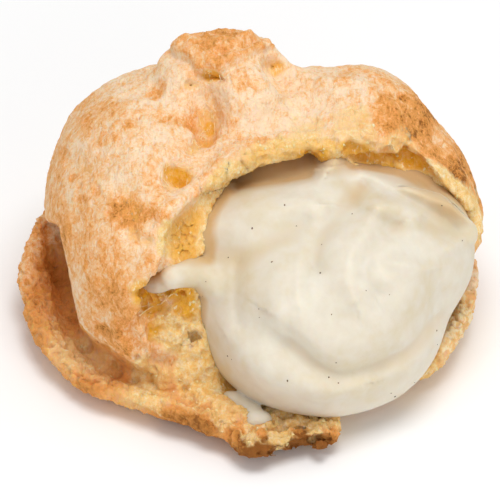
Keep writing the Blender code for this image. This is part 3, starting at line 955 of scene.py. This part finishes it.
def baked_choux(settings):
    recipe = Recipe("baked_choux", Subsurface_Weight=0.3, Subsurface_Radius=(1.0, 0.5, 0.2),
                    Subsurface_Scale=0.7 * MM, IOR=1.4, Specular_IOR_Level=0.15)
    crumb, hollow, tray = recipe.field("crumb"), recipe.field("hollow"), recipe.field("tray")
    broad = recipe.noise(6.0, detail=3, distortion=0.5)
    mottle = recipe.noise(1.7, detail=4, roughness=0.6, distortion=1.0)
    fibre = recipe.noise(0.8, detail=3, roughness=0.65, distortion=1.0, stretch=(1, 0.35, 0.45),
                         turn=(0, 0.25, 0.15))
    grain = recipe.noise(0.36, detail=2, roughness=0.7)
    bake = recipe.field("bake")
    for layer, factor in ((broad, 0.65), (mottle, 1.0), (fibre, 0.85), (grain, 0.6)):
        bake = recipe.stirred(bake, layer, factor)
    crust = recipe.ramp(bake, (0.1, settings.pale), (0.34, settings.golden), (0.58, settings.amber),
                        (0.84, settings.brown), (1.0, settings.scorched))
    flecks = recipe.spread(recipe.noise(0.55, detail=3, roughness=0.6, distortion=1.8), 0.54, 0.72)
    pale_side = recipe.spread(bake, 0.4, 0.8, 0.65, 0.15)
    dry = recipe.spread(recipe.sum(flecks, pale_side), 1.0, 1.65, 0.0, 0.65)
    crust = recipe.mix(dry, crust, settings.fibre)
    soft = recipe.ramp(recipe.stirred(mottle, grain, 0.7), (0.25, settings.crumb_deep), (0.5, settings.crumb),
                       (0.72, settings.crumb_pale))
    colour = recipe.mix(recipe.spread(recipe.stirred(crumb, mottle, 1.0), 0.25, 0.8), crust, soft)
    # The tray field turns the saucer's inside and the gutter to darker browns: partly the inside's own baked
    # crust, partly painted shade.
    inner_bake = recipe.sum(-0.52, recipe.field("bake"))
    inner_tone = recipe.sum(recipe.stirred(mottle, fibre, 0.6), inner_bake, -0.5)
    inner = recipe.ramp(inner_tone, (0.12, settings.scorched), (0.32, settings.brown), (0.52, settings.amber),
                        (0.72, settings.crumb_deep), (0.9, settings.crumb_pale))
    colour = recipe.mix(recipe.spread(tray, 0.2, 0.9, 0.0, 0.75), colour, inner)
    # Painted golden shade: the hollow field turns pits, sunk places and the deeper-gold crumb towards the
    # hollows colour.
    deep = recipe.ramp(recipe.stirred(mottle, fibre, 0.8), (0.35, settings.hollow),
                       (0.62, settings.crumb_deep), (0.75, settings.crumb_pale))
    colour = recipe.mix(recipe.spread(recipe.stirred(hollow, mottle, 0.8), 0.15, 0.85), colour, deep)
    recipe.coat(colour, mottle, 0.6, 0.82)
    recipe.bump(mottle, 0.3)
    recipe.bump(fibre, 0.3)
    recipe.bump(grain, 0.14)
    return recipe.material


def crumb_material(settings):
    """The finish of threads and loose crumbs: the crumb's own colours."""
    recipe = Recipe("torn_crumb", Subsurface_Weight=0.4, Subsurface_Radius=(1.0, 0.6, 0.3),
                    Subsurface_Scale=1.2 * MM, IOR=1.42, Specular_IOR_Level=0.1)
    tone = recipe.noise(1.1, detail=3, roughness=0.6)
    colour = recipe.ramp(tone, (0.3, settings.golden), (0.46, settings.crumb), (0.66, settings.crumb_pale))
    recipe.coat(colour, tone, 0.5, 0.75)
    recipe.bump(recipe.noise(0.3, detail=2), 0.05)
    return recipe.material


def custard_cream(settings):
    recipe = Recipe("custard_cream", Subsurface_Weight=0.55, Subsurface_Radius=(1.0, 0.72, 0.45),
                    Subsurface_Scale=2.2 * MM, IOR=1.4, Specular_IOR_Level=0.4)
    drift = recipe.noise(14.0, detail=2, distortion=0.6)
    fine = recipe.noise(2.4, detail=3, roughness=0.55)
    tone = recipe.stirred(drift, fine, 0.5)
    colour = recipe.ramp(tone, (0.3, settings.shade), (0.5, settings.body), (0.7, settings.light))
    # The cream mixes towards its edge colour, which stands for the crust's tint and for painted shade under
    # the roof and in the creases.
    edge = recipe.stirred(recipe.field("crust_tint_and_painted_shade"), fine, 0.5)
    colour = recipe.mix(recipe.spread(edge, 0.1, 1.0, 0.0, 0.85), colour, settings.edge)
    recipe.coat(colour, fine, 0.42, 0.58)
    recipe.bump(fine, 0.10, 0.5)
    recipe.bump(recipe.noise(0.5, detail=2), 0.03, 0.5)
    return recipe.material


def vanilla_seed(settings):
    recipe = Recipe("vanilla_seed", IOR=1.45)
    tone = recipe.noise(0.25, detail=2)
    recipe.coat(recipe.ramp(tone, (0.35, settings.dark), (0.65, settings.light)), tone, 0.45, 0.7)
    recipe.bump(tone, 0.03)
    return recipe.material


def pale_paper(colour):
    recipe = Recipe("pale_paper", Specular_IOR_Level=0.1)
    tone = recipe.noise(40.0, detail=2)
    light = tuple(min(1.0, v * 1.01) for v in colour)
    recipe.coat(recipe.ramp(tone, (0.3, tuple(colour)), (0.7, light)), tone, 0.8, 0.9)
    recipe.bump(recipe.noise(0.8), 0.02, 0.3)
    return recipe.material


# ---------------------------------------------------------------- the shell's relief and colour fields

# How much browner each kind of place is than none at all, except gold, which is that much paler.
BAKED = {"everywhere": 0.28, "drift": 0.10, "dents": 0.32, "proud": 0.10, "knob": 0.16, "foot": 0.3,
         "lip": 0.12, "tray": 0.12, "rim": 0.08, "teeth": 0.5, "gold": 0.4, "crown": 0.10}
# Browner and paler stretches of the front: (middle on the face, reach across and up, share).
BAKE_PATCHES = (
    ((-27.0, 15.0), (9.0, 14.0), 0.10),
    ((-22.0, 0.0), (10.0, 8.0), 0.18),
    ((-24.0, 22.0), (5.0, 5.0), -0.12),
    ((-30.0, -6.0), (6.0, 5.0), -0.4),
    ((-35.0, 4.0), (5.0, 7.0), 0.05),
    ((-20.6, 18.2), (4.4, 3.0), 0.42),
    ((-25.0, -4.0), (7.0, 3.0), 0.08),
    ((-26.0, 34.0), (8.0, 5.0), 0.18),
    ((4.0, 37.0), (10.0, 7.0), -0.15),
    ((-16.0, 40.0), (6.0, 5.0), -0.06),
    ((27.0, 35.0), (7.0, 7.0), 0.34),
    ((37.0, 20.0), (4.5, 14.0), 0.34),
    ((-12.0, -18.0), (10.0, 3.4), 0.3),
    ((8.0, -23.8), (12.0, 4.4), 1.35),
    ((33.0, 27.0), (9.0, 16.0), 0.17),
    ((36.0, -2.0), (5.0, 12.0), -0.7),
    ((-20.0, -14.0), (8.0, 3.4), -0.26),
    ((-36.0, 22.0), (5.0, 16.0), 0.16),
    ((-39.0, 8.0), (4.0, 14.0), 0.12),
)
# How large across each kind of relief is, in millimetres, and the level that ridges swing about.
LUMP_SIZE = 9.0
WRINKLE_SIZE = 3.2
GRAIN_SIZE = 1.2
CRUMB_SIZE = 1.3
FLAKE_SIZE = 3.8
RIDGE_LEVEL = 0.45
WRINKLE_STRETCH = np.array((1.0, 0.7, 1.15))
FLAKE_STRETCH = np.array((0.8, 1.0, 1.6))
RIM_TEETH = 2.0
# The baked layers of the saucer's wall run round it: its radius, how much longer than high they are, and
# their height.
RIM_RADIUS = 38
RIM_STRETCH = 6
RIM_LAYERS = 1.1


def knob_share(faces):
    """Where the browned plate on the knob lies, from 0 to 1."""
    side, _ = beside(faces[:, :2], curve_through(KNOB_EDGE, 4))
    ragged = 0.7 * layered(faces, 2.4, 3, seed=91)
    reach = smoothstep(15.5, 12.5, np.abs(faces[:, 0] + 3.4))
    return smoothstep(-0.3, 0.5, side + ragged) * smoothstep(11.0, 8.0, side) * reach


def teeth(points):
    """The torn rim's ragged crests, from 0 to 1."""
    drift = points + 1.2 * np.stack([noise(points, 3.0, seed) for seed in (35, 36, 37)], axis=1)
    return ridged(drift * (1.0, 1.0, 0.7), 2.3, 4, seed=63)


def dented(points):
    """Where the crust has sunk into shallow dents, broad and small, from 0 to 1."""
    broad = smoothstep(0.2, 0.8, noise(points, 6.5, seed=23))
    small = smoothstep(0.35, 0.8, noise(points, 2.6, seed=25) + 0.3 * noise(points, 9.0, seed=27))
    return np.maximum(broad, 0.6 * small)


def pit_shares(faces):
    """How far down each soft pit each place lies: an array from 0 to 1 for each pit."""
    warp = 0.8 * np.stack([layered(faces, 2.8, 3, seed) for seed in (101, 102)], axis=1)
    return [np.exp(-np.sum(((faces[:, :2] + warp - middle) / half) ** 2, axis=1))
            for middle, half, _, _ in SOFT_PITS.values()]


def gold_share(points):
    """Where the crumb is of a deeper gold, partly its own and partly painted shade, from 0 to 1."""
    faces = on_face(points)
    ragged = 0.7 * layered(points, 2.4, 3, seed=103)
    share = np.zeros(len(points))
    for most, reach, stations in GOLD_RUNS:
        away = np.abs(beside(faces[:, :2], curve_through(stations, 4))[0]) + ragged
        share = np.maximum(share, most * (1 - smoothstep(0.4 * reach, 1.1 * reach, away)))
    for pit, (_, _, _, golden) in zip(pit_shares(faces), SOFT_PITS.values()):
        share = np.maximum(share, golden * smoothstep(0.15, 0.75, pit))
    return share


def shell_relief(points, ways, front, proud, settings):
    """How far each place of the shell's skin rises: folds, lumps, wrinkles, fibres and crumbly edges."""
    faces = on_face(points)
    open_front = front.open_share(faces) * smoothstep(0.05, 0.5, ways @ OUTWARD)
    crumb = crumb_share(front, points)
    rise = fold_rise(faces[:, :2], SHELL_FOLDS) * open_front
    depths = [depth for _, _, depth, _ in SOFT_PITS.values()]
    rise -= sum(depth * share for depth, share in zip(depths, pit_shares(faces))) * open_front
    rise += layered(points, LUMP_SIZE, 3, seed=21) * settings.lumps / MM
    rise -= dented(points) * settings.dents / MM
    drift = points + 1.6 * np.stack([noise(points, 5.0, seed) for seed in (31, 32, 33)], axis=1)
    wrinkles = ridged(drift * WRINKLE_STRETCH, WRINKLE_SIZE, 4, seed=41) - RIDGE_LEVEL
    rise += wrinkles * settings.wrinkles / MM * (0.5 + 0.8 * smoothstep(-0.5, 0.6, noise(points, 12.0, 43)))
    rise += layered(points, GRAIN_SIZE, 2, seed=51) * settings.grain / MM
    rim = rim_share(points)
    crest = smoothstep(0.3, 0.85, ways[:, 2])
    rise += (teeth(points) - 0.4) * rim * RIM_TEETH * (0.3 + 0.7 * crest)
    turned = np.arctan2(points[:, 0], -points[:, 1]) * RIM_RADIUS / RIM_STRETCH
    coiled = np.stack([turned, out_from_axis(points), points[:, 2]], axis=1)
    rise += (ridged(coiled, 2.0, 3, seed=67) - RIDGE_LEVEL) * rim * (1 - crest) * RIM_LAYERS
    flaky = np.maximum(crumb, 0.6 * front.open_share(faces) * smoothstep(0.1, 1.0, -proud))
    rise += (ridged(points, CRUMB_SIZE, 3, seed=61) - 0.4) * flaky * settings.crumb_height / MM
    plate = knob_share(faces) * front.open_share(faces)
    flakes = ridged(drift * FLAKE_STRETCH, FLAKE_SIZE, 4, seed=65) - RIDGE_LEVEL
    rise += flakes * plate * settings.flakes / MM
    return rise


def bake_share(points, ways, front, proud):
    """How brown the oven left each place, from 0 to 1."""
    faces = on_face(points)
    open_front = front.open_share(faces)
    tray, rim = tray_share(points), rim_share(points)
    share = BAKED["everywhere"] + BAKED["drift"] * layered(points, 12.0, 2, seed=81)
    share += BAKED["dents"] * dented(points)
    share += BAKED["proud"] * smoothstep(0.15, 0.9, proud)
    share += BAKED["knob"] * knob_share(faces) * smoothstep(30, 36, points[:, 2])
    share += BAKED["foot"] * smoothstep(8.0, 1.0, points[:, 2])
    for middle, reach, most in BAKE_PATCHES:
        away = (faces[:, :2] - middle) / reach
        away = np.linalg.norm(away, axis=1) + 0.25 * layered(points, 3.0, 2, seed=83)
        share += most * (1 - smoothstep(0.4, 1.25, away)) * open_front
    lip = tray * smoothstep(36.5, 39.0, out_from_axis(points))
    share += BAKED["lip"] * lip + BAKED["tray"] * tray + BAKED["rim"] * rim
    share += BAKED["teeth"] * (0.35 - teeth(points)) * rim
    share -= BAKED["gold"] * gold_share(points) * open_front
    crown = smoothstep(0.72, 0.98, ways[:, 2]) * smoothstep(34, 42, points[:, 2])
    share += BAKED["crown"] * crown * (1 - open_front)
    return share


def furnish(obj, material):
    """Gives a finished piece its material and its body."""
    obj.data.materials.append(material)
    obj.data.shade_smooth()
    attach(obj, "root")


def build_shell(settings):
    """The choux shell: its skin, relief and fields for the crust's colours."""
    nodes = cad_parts
    block = Block(CAD_BOX, VOXEL)
    points, quads, front, values = shell_skin(block, nodes["choux_shell"], nodes["cream_filling"])
    ways = block.uphill(values, points)
    to_cream = block.sampled(block.distance(nodes["cream_filling"]), points)
    faces = on_face(points)
    hidden = (1 - smoothstep(0.6, 1.4, to_cream)) * (1 - front.open_share(faces))
    proud = block.sampled(blurred(values, PROUD_BLUR), points)
    rise = shell_relief(points, ways, front, proud, settings) * (1 - hidden)
    points = points + ways * (rise * smoothstep(0.0, 2.0, points[:, 2]))[:, None]
    points[:, 2] = np.maximum(points[:, 2], 0)
    obj = skin_object("choux_crust", points, quads)
    turned = 1 - smoothstep(-0.35, 0.1, ways @ OUTWARD)
    behind = SPARE_BEHIND * turned * (1 - rim_share(points))
    thin_out(obj, SHELL_TRIANGLES, np.maximum(hidden, behind))
    mesh = obj.data
    points = rows_of(mesh.vertices, "co").astype(float) / MM
    proud = block.sampled(blurred(values, PROUD_BLUR), points)
    ways = block.uphill(values, points)
    crumb, tray = crumb_share(front, points), tray_share(points)
    set_field(mesh, "crumb", crumb)
    set_field(mesh, "bake", bake_share(points, ways, front, proud))
    places = on_face(points)
    # The hollow field is painted golden shade in pits under the front's lid and in sunk places, and the
    # crumb's deeper gold.
    past_cream = smoothstep(0.6, 2.8, front.read(front.gap, places[:, :2]))
    sunk = front.sunk_share(places) * (1 - tray) * past_cream
    sunk *= (1 - 0.75 * smoothstep(28, 33, places[:, 1])) * smoothstep(-30, -26, places[:, 0])
    dips = 0.4 * smoothstep(0.3, 1.4, -proud) * (1 - tray)
    sunk = np.maximum.reduce([sunk, dips, gold_share(points) * front.open_share(places)])
    set_field(mesh, "hollow", sunk)
    # The tray field is partly the saucer's own browner inside, partly painted shade in it and in the gutter.
    set_field(mesh, "tray", np.maximum(tray, gutter_share(points)) * (1 - 0.7 * crumb))
    furnish(obj, baked_choux(settings))
    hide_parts("choux_shell")
    return obj, block, values, front


# ---------------------------------------------------------------- small pieces

def lumps_object(name, places, ways, sizes, flat, rough, detail, seed):
    """Many small rough lumps as one mesh: each of a radius, flattened along its way out."""
    rng = np.random.default_rng(seed)
    ball_mesh = bmesh.new()
    bmesh.ops.create_icosphere(ball_mesh, subdivisions=detail, radius=1.0)
    corners = np.array([v.co for v in ball_mesh.verts])
    faces = np.array([[v.index for v in face.verts] for face in ball_mesh.faces])
    ball_mesh.free()
    points = []
    for number, (place, way, size) in enumerate(zip(places, ways, sizes)):
        side = np.cross(way, rng.normal(size=3))
        side /= np.linalg.norm(side)
        frame_rows = np.array((side, np.cross(way, side), way))
        stretch = np.array((rng.uniform(0.75, 1.35), 1.0, flat))
        shaped = corners * (1 + rough * noise(corners + 7.3 * number, 0.8, seed)[:, None])
        points.append(place + (shaped * stretch * size) @ frame_rows)
    count = len(corners)
    all_faces = np.concatenate([faces + count * n for n in range(len(points))])
    return skin_object(name, np.concatenate(points), all_faces)


def spots_on(obj, count, weights, gap, seed):
    """Scattered places on a mesh that keep apart: (places, ways out) in millimetres."""
    rng = np.random.default_rng(seed)
    mesh = obj.data
    centres = rows_of(mesh.polygons, "center").astype(float) / MM
    normals = rows_of(mesh.polygons, "normal").astype(float)
    areas = rows_of(mesh.polygons, "area", width=1)[:, 0]
    chances = areas * weights(centres, normals)
    chosen = rng.choice(len(centres), size=count * 4, p=chances / chances.sum())
    kept = []
    for index in chosen:
        if kept and np.min(np.linalg.norm(centres[kept] - centres[index], axis=1)) < gap:
            continue
        kept.append(index)
        if len(kept) == count:
            break
    return centres[kept], normals[kept]


def threads_object(name, runs, thickness):
    """Fine threads as one mesh: each run is (points in millimetres, thickness share at each)."""
    curve = bpy.data.curves.new(name, "CURVE")
    curve.dimensions = "3D"
    curve.bevel_depth = thickness * MM
    curve.bevel_resolution = 1
    curve.use_fill_caps = True
    for places, shares in runs:
        spline = curve.splines.new("POLY")
        spline.points.add(len(places) - 1)
        for point, place, share in zip(spline.points, places, shares):
            point.co = (*(place * MM), 1)
            point.radius = share
    obj = linked(name, curve)
    mesh = evaluated_mesh(obj, name)
    bpy.data.objects.remove(obj, do_unlink=True)
    bpy.data.curves.remove(curve)
    return linked(name, mesh)


# Loose crumbs: the least gap between two, their radii, how flat and rough they are, and how deep they sit.
CRUMB_GAP = 0.55
CRUMB_RADII = (0.12, 0.34)
CRUMB_FLAT = 0.75
CRUMB_ROUGH = 0.55
CRUMB_SUNK = 0.25
# Vanilla seeds: the same, except their radii.
SEED_GAP = 1.2
SEED_FLAT = 0.8
SEED_ROUGH = 0.3
SEED_SUNK = 0.3
# How finely a lump's ball is divided.
LUMP_DETAIL = 2
# Hollows with torn threads of dough across them, and how many each has.
THREADED = {"throat": 9, "throat_step": 5, "crater": 9, "knob_pit": 8, "pocket": 5, "pocket_recess": 4,
            "round_hole": 4}
# Edges of thin torn skin: stations (x, up the slope), each standing out by a distance.
SKIN_EDGES = (
    (0.0, ((-19.0, 0.6), (-17.2, 2.0), (-15.4, 2.6))),
    (0.0, ((-15.4, 2.6), (-13.2, 4.4), (-12.0, 3.2), (-11.0, 0.6))),
)


def dough_threads(block, values, settings):
    """Runs of the threads that the torn crumb left across its hollows."""
    rng = np.random.default_rng(97)
    runs = []
    for name, count in THREADED.items():
        place, radii = {**HOLLOWS, **SOFT_PITS}[name][:2]
        for _ in range(count):
            turn = rng.uniform(0, 2 * math.pi)
            span = rng.uniform(0.4, 1.1)
            ends = [(place[0] + reach * radii[0] * math.cos(a), place[1] + reach * radii[1] * math.sin(a))
                    for a, reach in ((turn, 1.1), (turn + span, rng.uniform(0.5, 1.1)))]
            ends = block.landing(values, ends) - OUTWARD * 0.2
            if np.linalg.norm(ends[1] - ends[0]) > 1.1 * max(radii):
                continue
            shares = np.linspace(0, 1, 9)
            sag = OUTWARD * rng.uniform(-0.3, 0.5) + UPSLOPE * rng.uniform(-0.5, 0.5)
            run = ends[0] + (ends[1] - ends[0]) * shares[:, None] - np.outer(np.sin(shares * math.pi), sag)
            runs.append((run, 0.55 + 0.9 * np.abs(shares - 0.5) * 2 * rng.uniform(0.5, 1.2)))
    for proud, stations in SKIN_EDGES:
        run = block.landing(values, curve_through(stations, 4))
        runs.append((run + OUTWARD * (proud - 0.3), np.full(len(run), 2.2)))
    return threads_object("dough_threads", runs, settings.thread_width / MM / 2)


# ---------------------------------------------------------------- sizes and colours

def shade(name, description, *rgb):
    """A colour, from a screen's red, green and blue."""
    return FloatVectorProperty(name=name, description=description, subtype="COLOR", size=3, min=0.0, max=1.0,
                               default=paint(*rgb))


def length(name, description, default, top):
    """A length in millimetres, up to a top one."""
    return FloatProperty(name=name, description=description, subtype="DISTANCE", unit="LENGTH", min=0.0,
                         max=top * MM, default=default * MM, precision=5)


class ChouxSettings(PropertyGroup):
    lumps: length("Lumps", "Height of the dough's broad lumps", 0.5, 2)
    dents: length("Dents", "Depth of the crust's shallow dents", 0.7, 2)
    wrinkles: length("Wrinkles", "Height of the crust's fine wrinkles", 0.26, 1)
    grain: length("Grain", "Height of the crust's grain", 0.1, 0.5)
    crumb_height: length("Crumb roughness", "Height of the torn crumb's flakes", 0.36, 2)
    flakes: length("Flakes", "Height of the flakes on the knob's browned plate", 1.25, 3)
    thread_width: length("Thread width", "Thickness of the dough's torn threads", 0.11, 1)
    crumb_count: IntProperty(name="Loose crumbs", description="How many small crumbs cling to the tear",
                             default=200, min=0, max=2000)
    pale: shade("Pale crust", "Crust that the oven hardly coloured", 244, 217, 184)
    golden: shade("Golden crust", "Most of the crust", 240, 195, 146)
    amber: shade("Amber crust", "Well baked crust", 234, 163, 93)
    brown: shade("Brown crust", "Crust at the edges and the foot", 204, 138, 68)
    scorched: shade("Scorched crust", "The darkest spots", 142, 88, 38)
    fibre: shade("Dry fibres", "Whitish dry fibres in the crust", 244, 227, 202)
    crumb: shade("Crumb", "Soft inner crumb", 240, 204, 138)
    crumb_pale: shade("Pale crumb", "Thin torn walls of the crumb", 244, 224, 182)
    crumb_deep: shade("Deep crumb", "Crumb inside its bubbles", 236, 182, 94)
    # The hollows colour is painted golden shade in pits and sunk places, and the crumb's deeper gold.
    hollow: shade("Hollows", "Golden crumb deep in a hollow", 226, 162, 34)


class CreamSettings(PropertyGroup):
    light: shade("Light cream", "Thin bright smears", 226, 219, 203)
    body: shade("Cream", "Most of the cream", 220, 211, 193)
    # Painted shade under the roof and in the creases, and the crust's tint beside it.
    edge: shade("Edge", "Cream against the crust, tinted by it", 203, 166, 112)
    shade: shade("Deep cream", "Thick stretches, a little yellower", 215, 202, 174)


class SeedSettings(PropertyGroup):
    count: IntProperty(name="Seeds", description="How many vanilla seeds show", default=30, min=0, max=500)
    smallest: length("Smallest", "Radius of the smallest seed", 0.1, 0.5)
    largest: length("Largest", "Radius of the largest seed", 0.21, 0.5)
    dark: shade("Dark", "The seed's dark coat", 66, 46, 30)
    light: shade("Light", "The seed's worn coat", 134, 102, 74)


class StageSettings(PropertyGroup):
    floor: shade("Floor", "Pale paper under the puff", 250, 250, 250)
    floor_width: FloatProperty(name="Floor width", description="Side of the square floor", default=3.0,
                               min=0.5, max=20, subtype="DISTANCE", unit="LENGTH")
    fill: FloatProperty(name="Fill", description="Strength of the light from all round", default=0.64, min=0,
                        max=5)
    key: FloatProperty(name="Key", description="Power of the large soft light", default=2.15, min=0, max=100,
                       subtype="POWER", unit="POWER")
    elevation: FloatProperty(name="Viewing angle", description="How far above level the camera looks from",
                             default=FACE_TILT, min=0, max=math.pi / 2, subtype="ANGLE", unit="ROTATION")
    distance: FloatProperty(name="Camera distance", description="From the camera to the puff", default=2.0,
                            min=0.2, max=10, subtype="DISTANCE", unit="LENGTH")
    frame_width: length("Frame width", "Width of what the camera takes in at the puff", 87.72, 500)


# ---------------------------------------------------------------- operators

# What one operator made that the next ones need.
workshop = {}


class PUFF_OT_crust(Operator):
    """Sculpts the torn choux shell over its CAD solid"""

    bl_idname = "puff.crust"
    bl_label = "Choux crust"

    def execute(self, context):
        made = build_shell(context.scene.choux)
        workshop["crust"], workshop["block"], workshop["crust_field"], workshop["front"] = made
        return {"FINISHED"}


class PUFF_OT_threads(Operator):
    """Strings torn threads of dough across the crust's hollows"""

    bl_idname = "puff.threads"
    bl_label = "Dough threads"

    def execute(self, context):
        settings = context.scene.choux
        obj = dough_threads(workshop["block"], workshop["crust_field"], settings)
        furnish(obj, crumb_material(settings))
        return {"FINISHED"}


class PUFF_OT_crumbs(Operator):
    """Scatters small loose crumbs along the tear"""

    bl_idname = "puff.crumbs"
    bl_label = "Loose crumbs"

    def execute(self, context):
        settings = context.scene.choux
        front = workshop["front"]

        def weights(centres, normals):
            facing = smoothstep(0.0, 0.4, normals @ OUTWARD)
            return crumb_share(front, centres) ** 2 * facing * front.open_share(on_face(centres)) + 1e-9

        places, ways = spots_on(workshop["crust"], settings.crumb_count, weights, CRUMB_GAP, seed=131)
        sizes = np.random.default_rng(132).uniform(*CRUMB_RADII, len(places))
        places = places - ways * sizes[:, None] * CRUMB_SUNK
        obj = lumps_object("loose_crumbs", places, ways, sizes, CRUMB_FLAT, CRUMB_ROUGH, LUMP_DETAIL,
                           seed=133)
        furnish(obj, crumb_material(settings))
        return {"FINISHED"}


class PUFF_OT_cream(Operator):
    """Sculpts the custard cream and its spatula folds over its CAD solid"""

    bl_idname = "puff.cream"
    bl_label = "Custard cream"

    def execute(self, context):
        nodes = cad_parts
        block = workshop["block"]
        points, quads, crust_tint_and_painted_shade = cream_skin(block, nodes["cream_filling"], nodes["choux_shell"])
        obj = skin_object("custard", points, quads)
        set_field(obj.data, "crust_tint_and_painted_shade", crust_tint_and_painted_shade)
        furnish(obj, custard_cream(context.scene.custard))
        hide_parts("cream_filling")
        workshop["cream"] = obj
        return {"FINISHED"}


class PUFF_OT_seeds(Operator):
    """Sets vanilla seeds in the cream's open face"""

    bl_idname = "puff.seeds"
    bl_label = "Vanilla seeds"

    def execute(self, context):
        settings = context.scene.seeds
        front = workshop["front"]

        def weights(centres, normals):
            faces = on_face(centres)
            bare = front.read(front.gap, faces[:, :2]) < 0.6
            return bare * front.open_share(faces) * smoothstep(0.0, 0.3, normals @ OUTWARD)

        places, ways = spots_on(workshop["cream"], settings.count, weights, SEED_GAP, seed=151)
        spread = np.random.default_rng(152).random(len(places)) ** 2
        sizes = (settings.smallest + (settings.largest - settings.smallest) * spread) / MM
        places = places - ways * sizes[:, None] * SEED_SUNK
        obj = lumps_object("seeds", places, ways, sizes, SEED_FLAT, SEED_ROUGH, LUMP_DETAIL, seed=153)
        furnish(obj, vanilla_seed(settings))
        return {"FINISHED"}


# The lights: (name, place, width, share of the key's power).
SOFT_LIGHTS = (
    ("key", (0.06, -0.16, 0.66), 0.36, 1.0),
    ("front", (0.25, -0.60, 0.30), 0.40, 0.3),
)
AIM = Vector((0, 0, 0.02))
# The middle of the picture, this far up the slope from the puff's origin.
FRAME_MIDDLE = 11.9 * MM


class PUFF_OT_stage(Operator):
    """Lays the pale floor and sets the soft lights and the camera"""

    bl_idname = "puff.stage"
    bl_label = "Stage"

    def execute(self, context):
        scene, settings = context.scene, context.scene.stage
        bpy.ops.mesh.primitive_grid_add(x_subdivisions=8, y_subdivisions=8, size=settings.floor_width)
        floor = context.object
        floor.name = floor.data.name = "floor"
        floor.data.materials.append(pale_paper(settings.floor))
        world = bpy.data.worlds.new("soft_room")
        world.use_nodes = True
        background = world.node_tree.nodes["Background"]
        background.inputs["Color"].default_value = (1, 1, 1, 1)
        background.inputs["Strength"].default_value = settings.fill
        scene.world = world
        for name, place, size, power in SOFT_LIGHTS:
            lamp = bpy.data.lights.new(name, "AREA")
            lamp.shape = "DISK"
            lamp.size = size
            lamp.energy = settings.key * power
            obj = linked(name, lamp)
            obj.location = place
            obj.rotation_euler = (AIM - Vector(place)).to_track_quat("-Z", "Y").to_euler()
        camera = bpy.data.cameras.new("camera")
        camera.lens = camera.sensor_width * settings.distance / settings.frame_width
        obj = linked("camera", camera)
        back = Vector((0, -math.cos(settings.elevation), math.sin(settings.elevation)))
        up = Vector((0, math.sin(settings.elevation), math.cos(settings.elevation)))
        obj.location = up * FRAME_MIDDLE + back * settings.distance
        obj.rotation_euler = (-back).to_track_quat("-Z", "Y").to_euler()
        scene.camera = obj
        scene.view_settings.view_transform = "Standard"
        return {"FINISHED"}


STEPS = (
    ("choux", (PUFF_OT_crust, PUFF_OT_threads, PUFF_OT_crumbs)),
    ("custard", (PUFF_OT_cream,)),
    ("seeds", (PUFF_OT_seeds,)),
    ("stage", (PUFF_OT_stage,)),
)
SETTINGS = {"choux": ChouxSettings, "custard": CreamSettings, "seeds": SeedSettings, "stage": StageSettings}


class PUFF_PT_panel(Panel):
    bl_idname = "PUFF_PT_panel"
    bl_label = "Cream puff"
    bl_space_type = "VIEW_3D"
    bl_region_type = "UI"
    bl_category = "Cream puff"

    def draw(self, context):
        for name, operators in STEPS:
            box = self.layout.box()
            for operator in operators:
                box.operator(operator.bl_idname)
            settings = getattr(context.scene, name)
            for field in settings.bl_rna.properties:
                if field.identifier not in ("name", "rna_type"):
                    box.prop(settings, field.identifier)


def register():
    for name, group in SETTINGS.items():
        bpy.utils.register_class(group)
        setattr(bpy.types.Scene, name, PointerProperty(type=group))
    for _, operators in STEPS:
        for operator in operators:
            bpy.utils.register_class(operator)
    bpy.utils.register_class(PUFF_PT_panel)


def unregister():
    bpy.utils.unregister_class(PUFF_PT_panel)
    for _, operators in STEPS:
        for operator in operators:
            bpy.utils.unregister_class(operator)
    for name, group in SETTINGS.items():
        delattr(bpy.types.Scene, name)
        bpy.utils.unregister_class(group)


def main():
    register()
    bpy.ops.puff.crust()
    bpy.ops.puff.threads()
    bpy.ops.puff.crumbs()
    bpy.ops.puff.cream()
    bpy.ops.puff.seeds()
    bpy.ops.puff.stage()


if __name__ == "__main__":
    main()
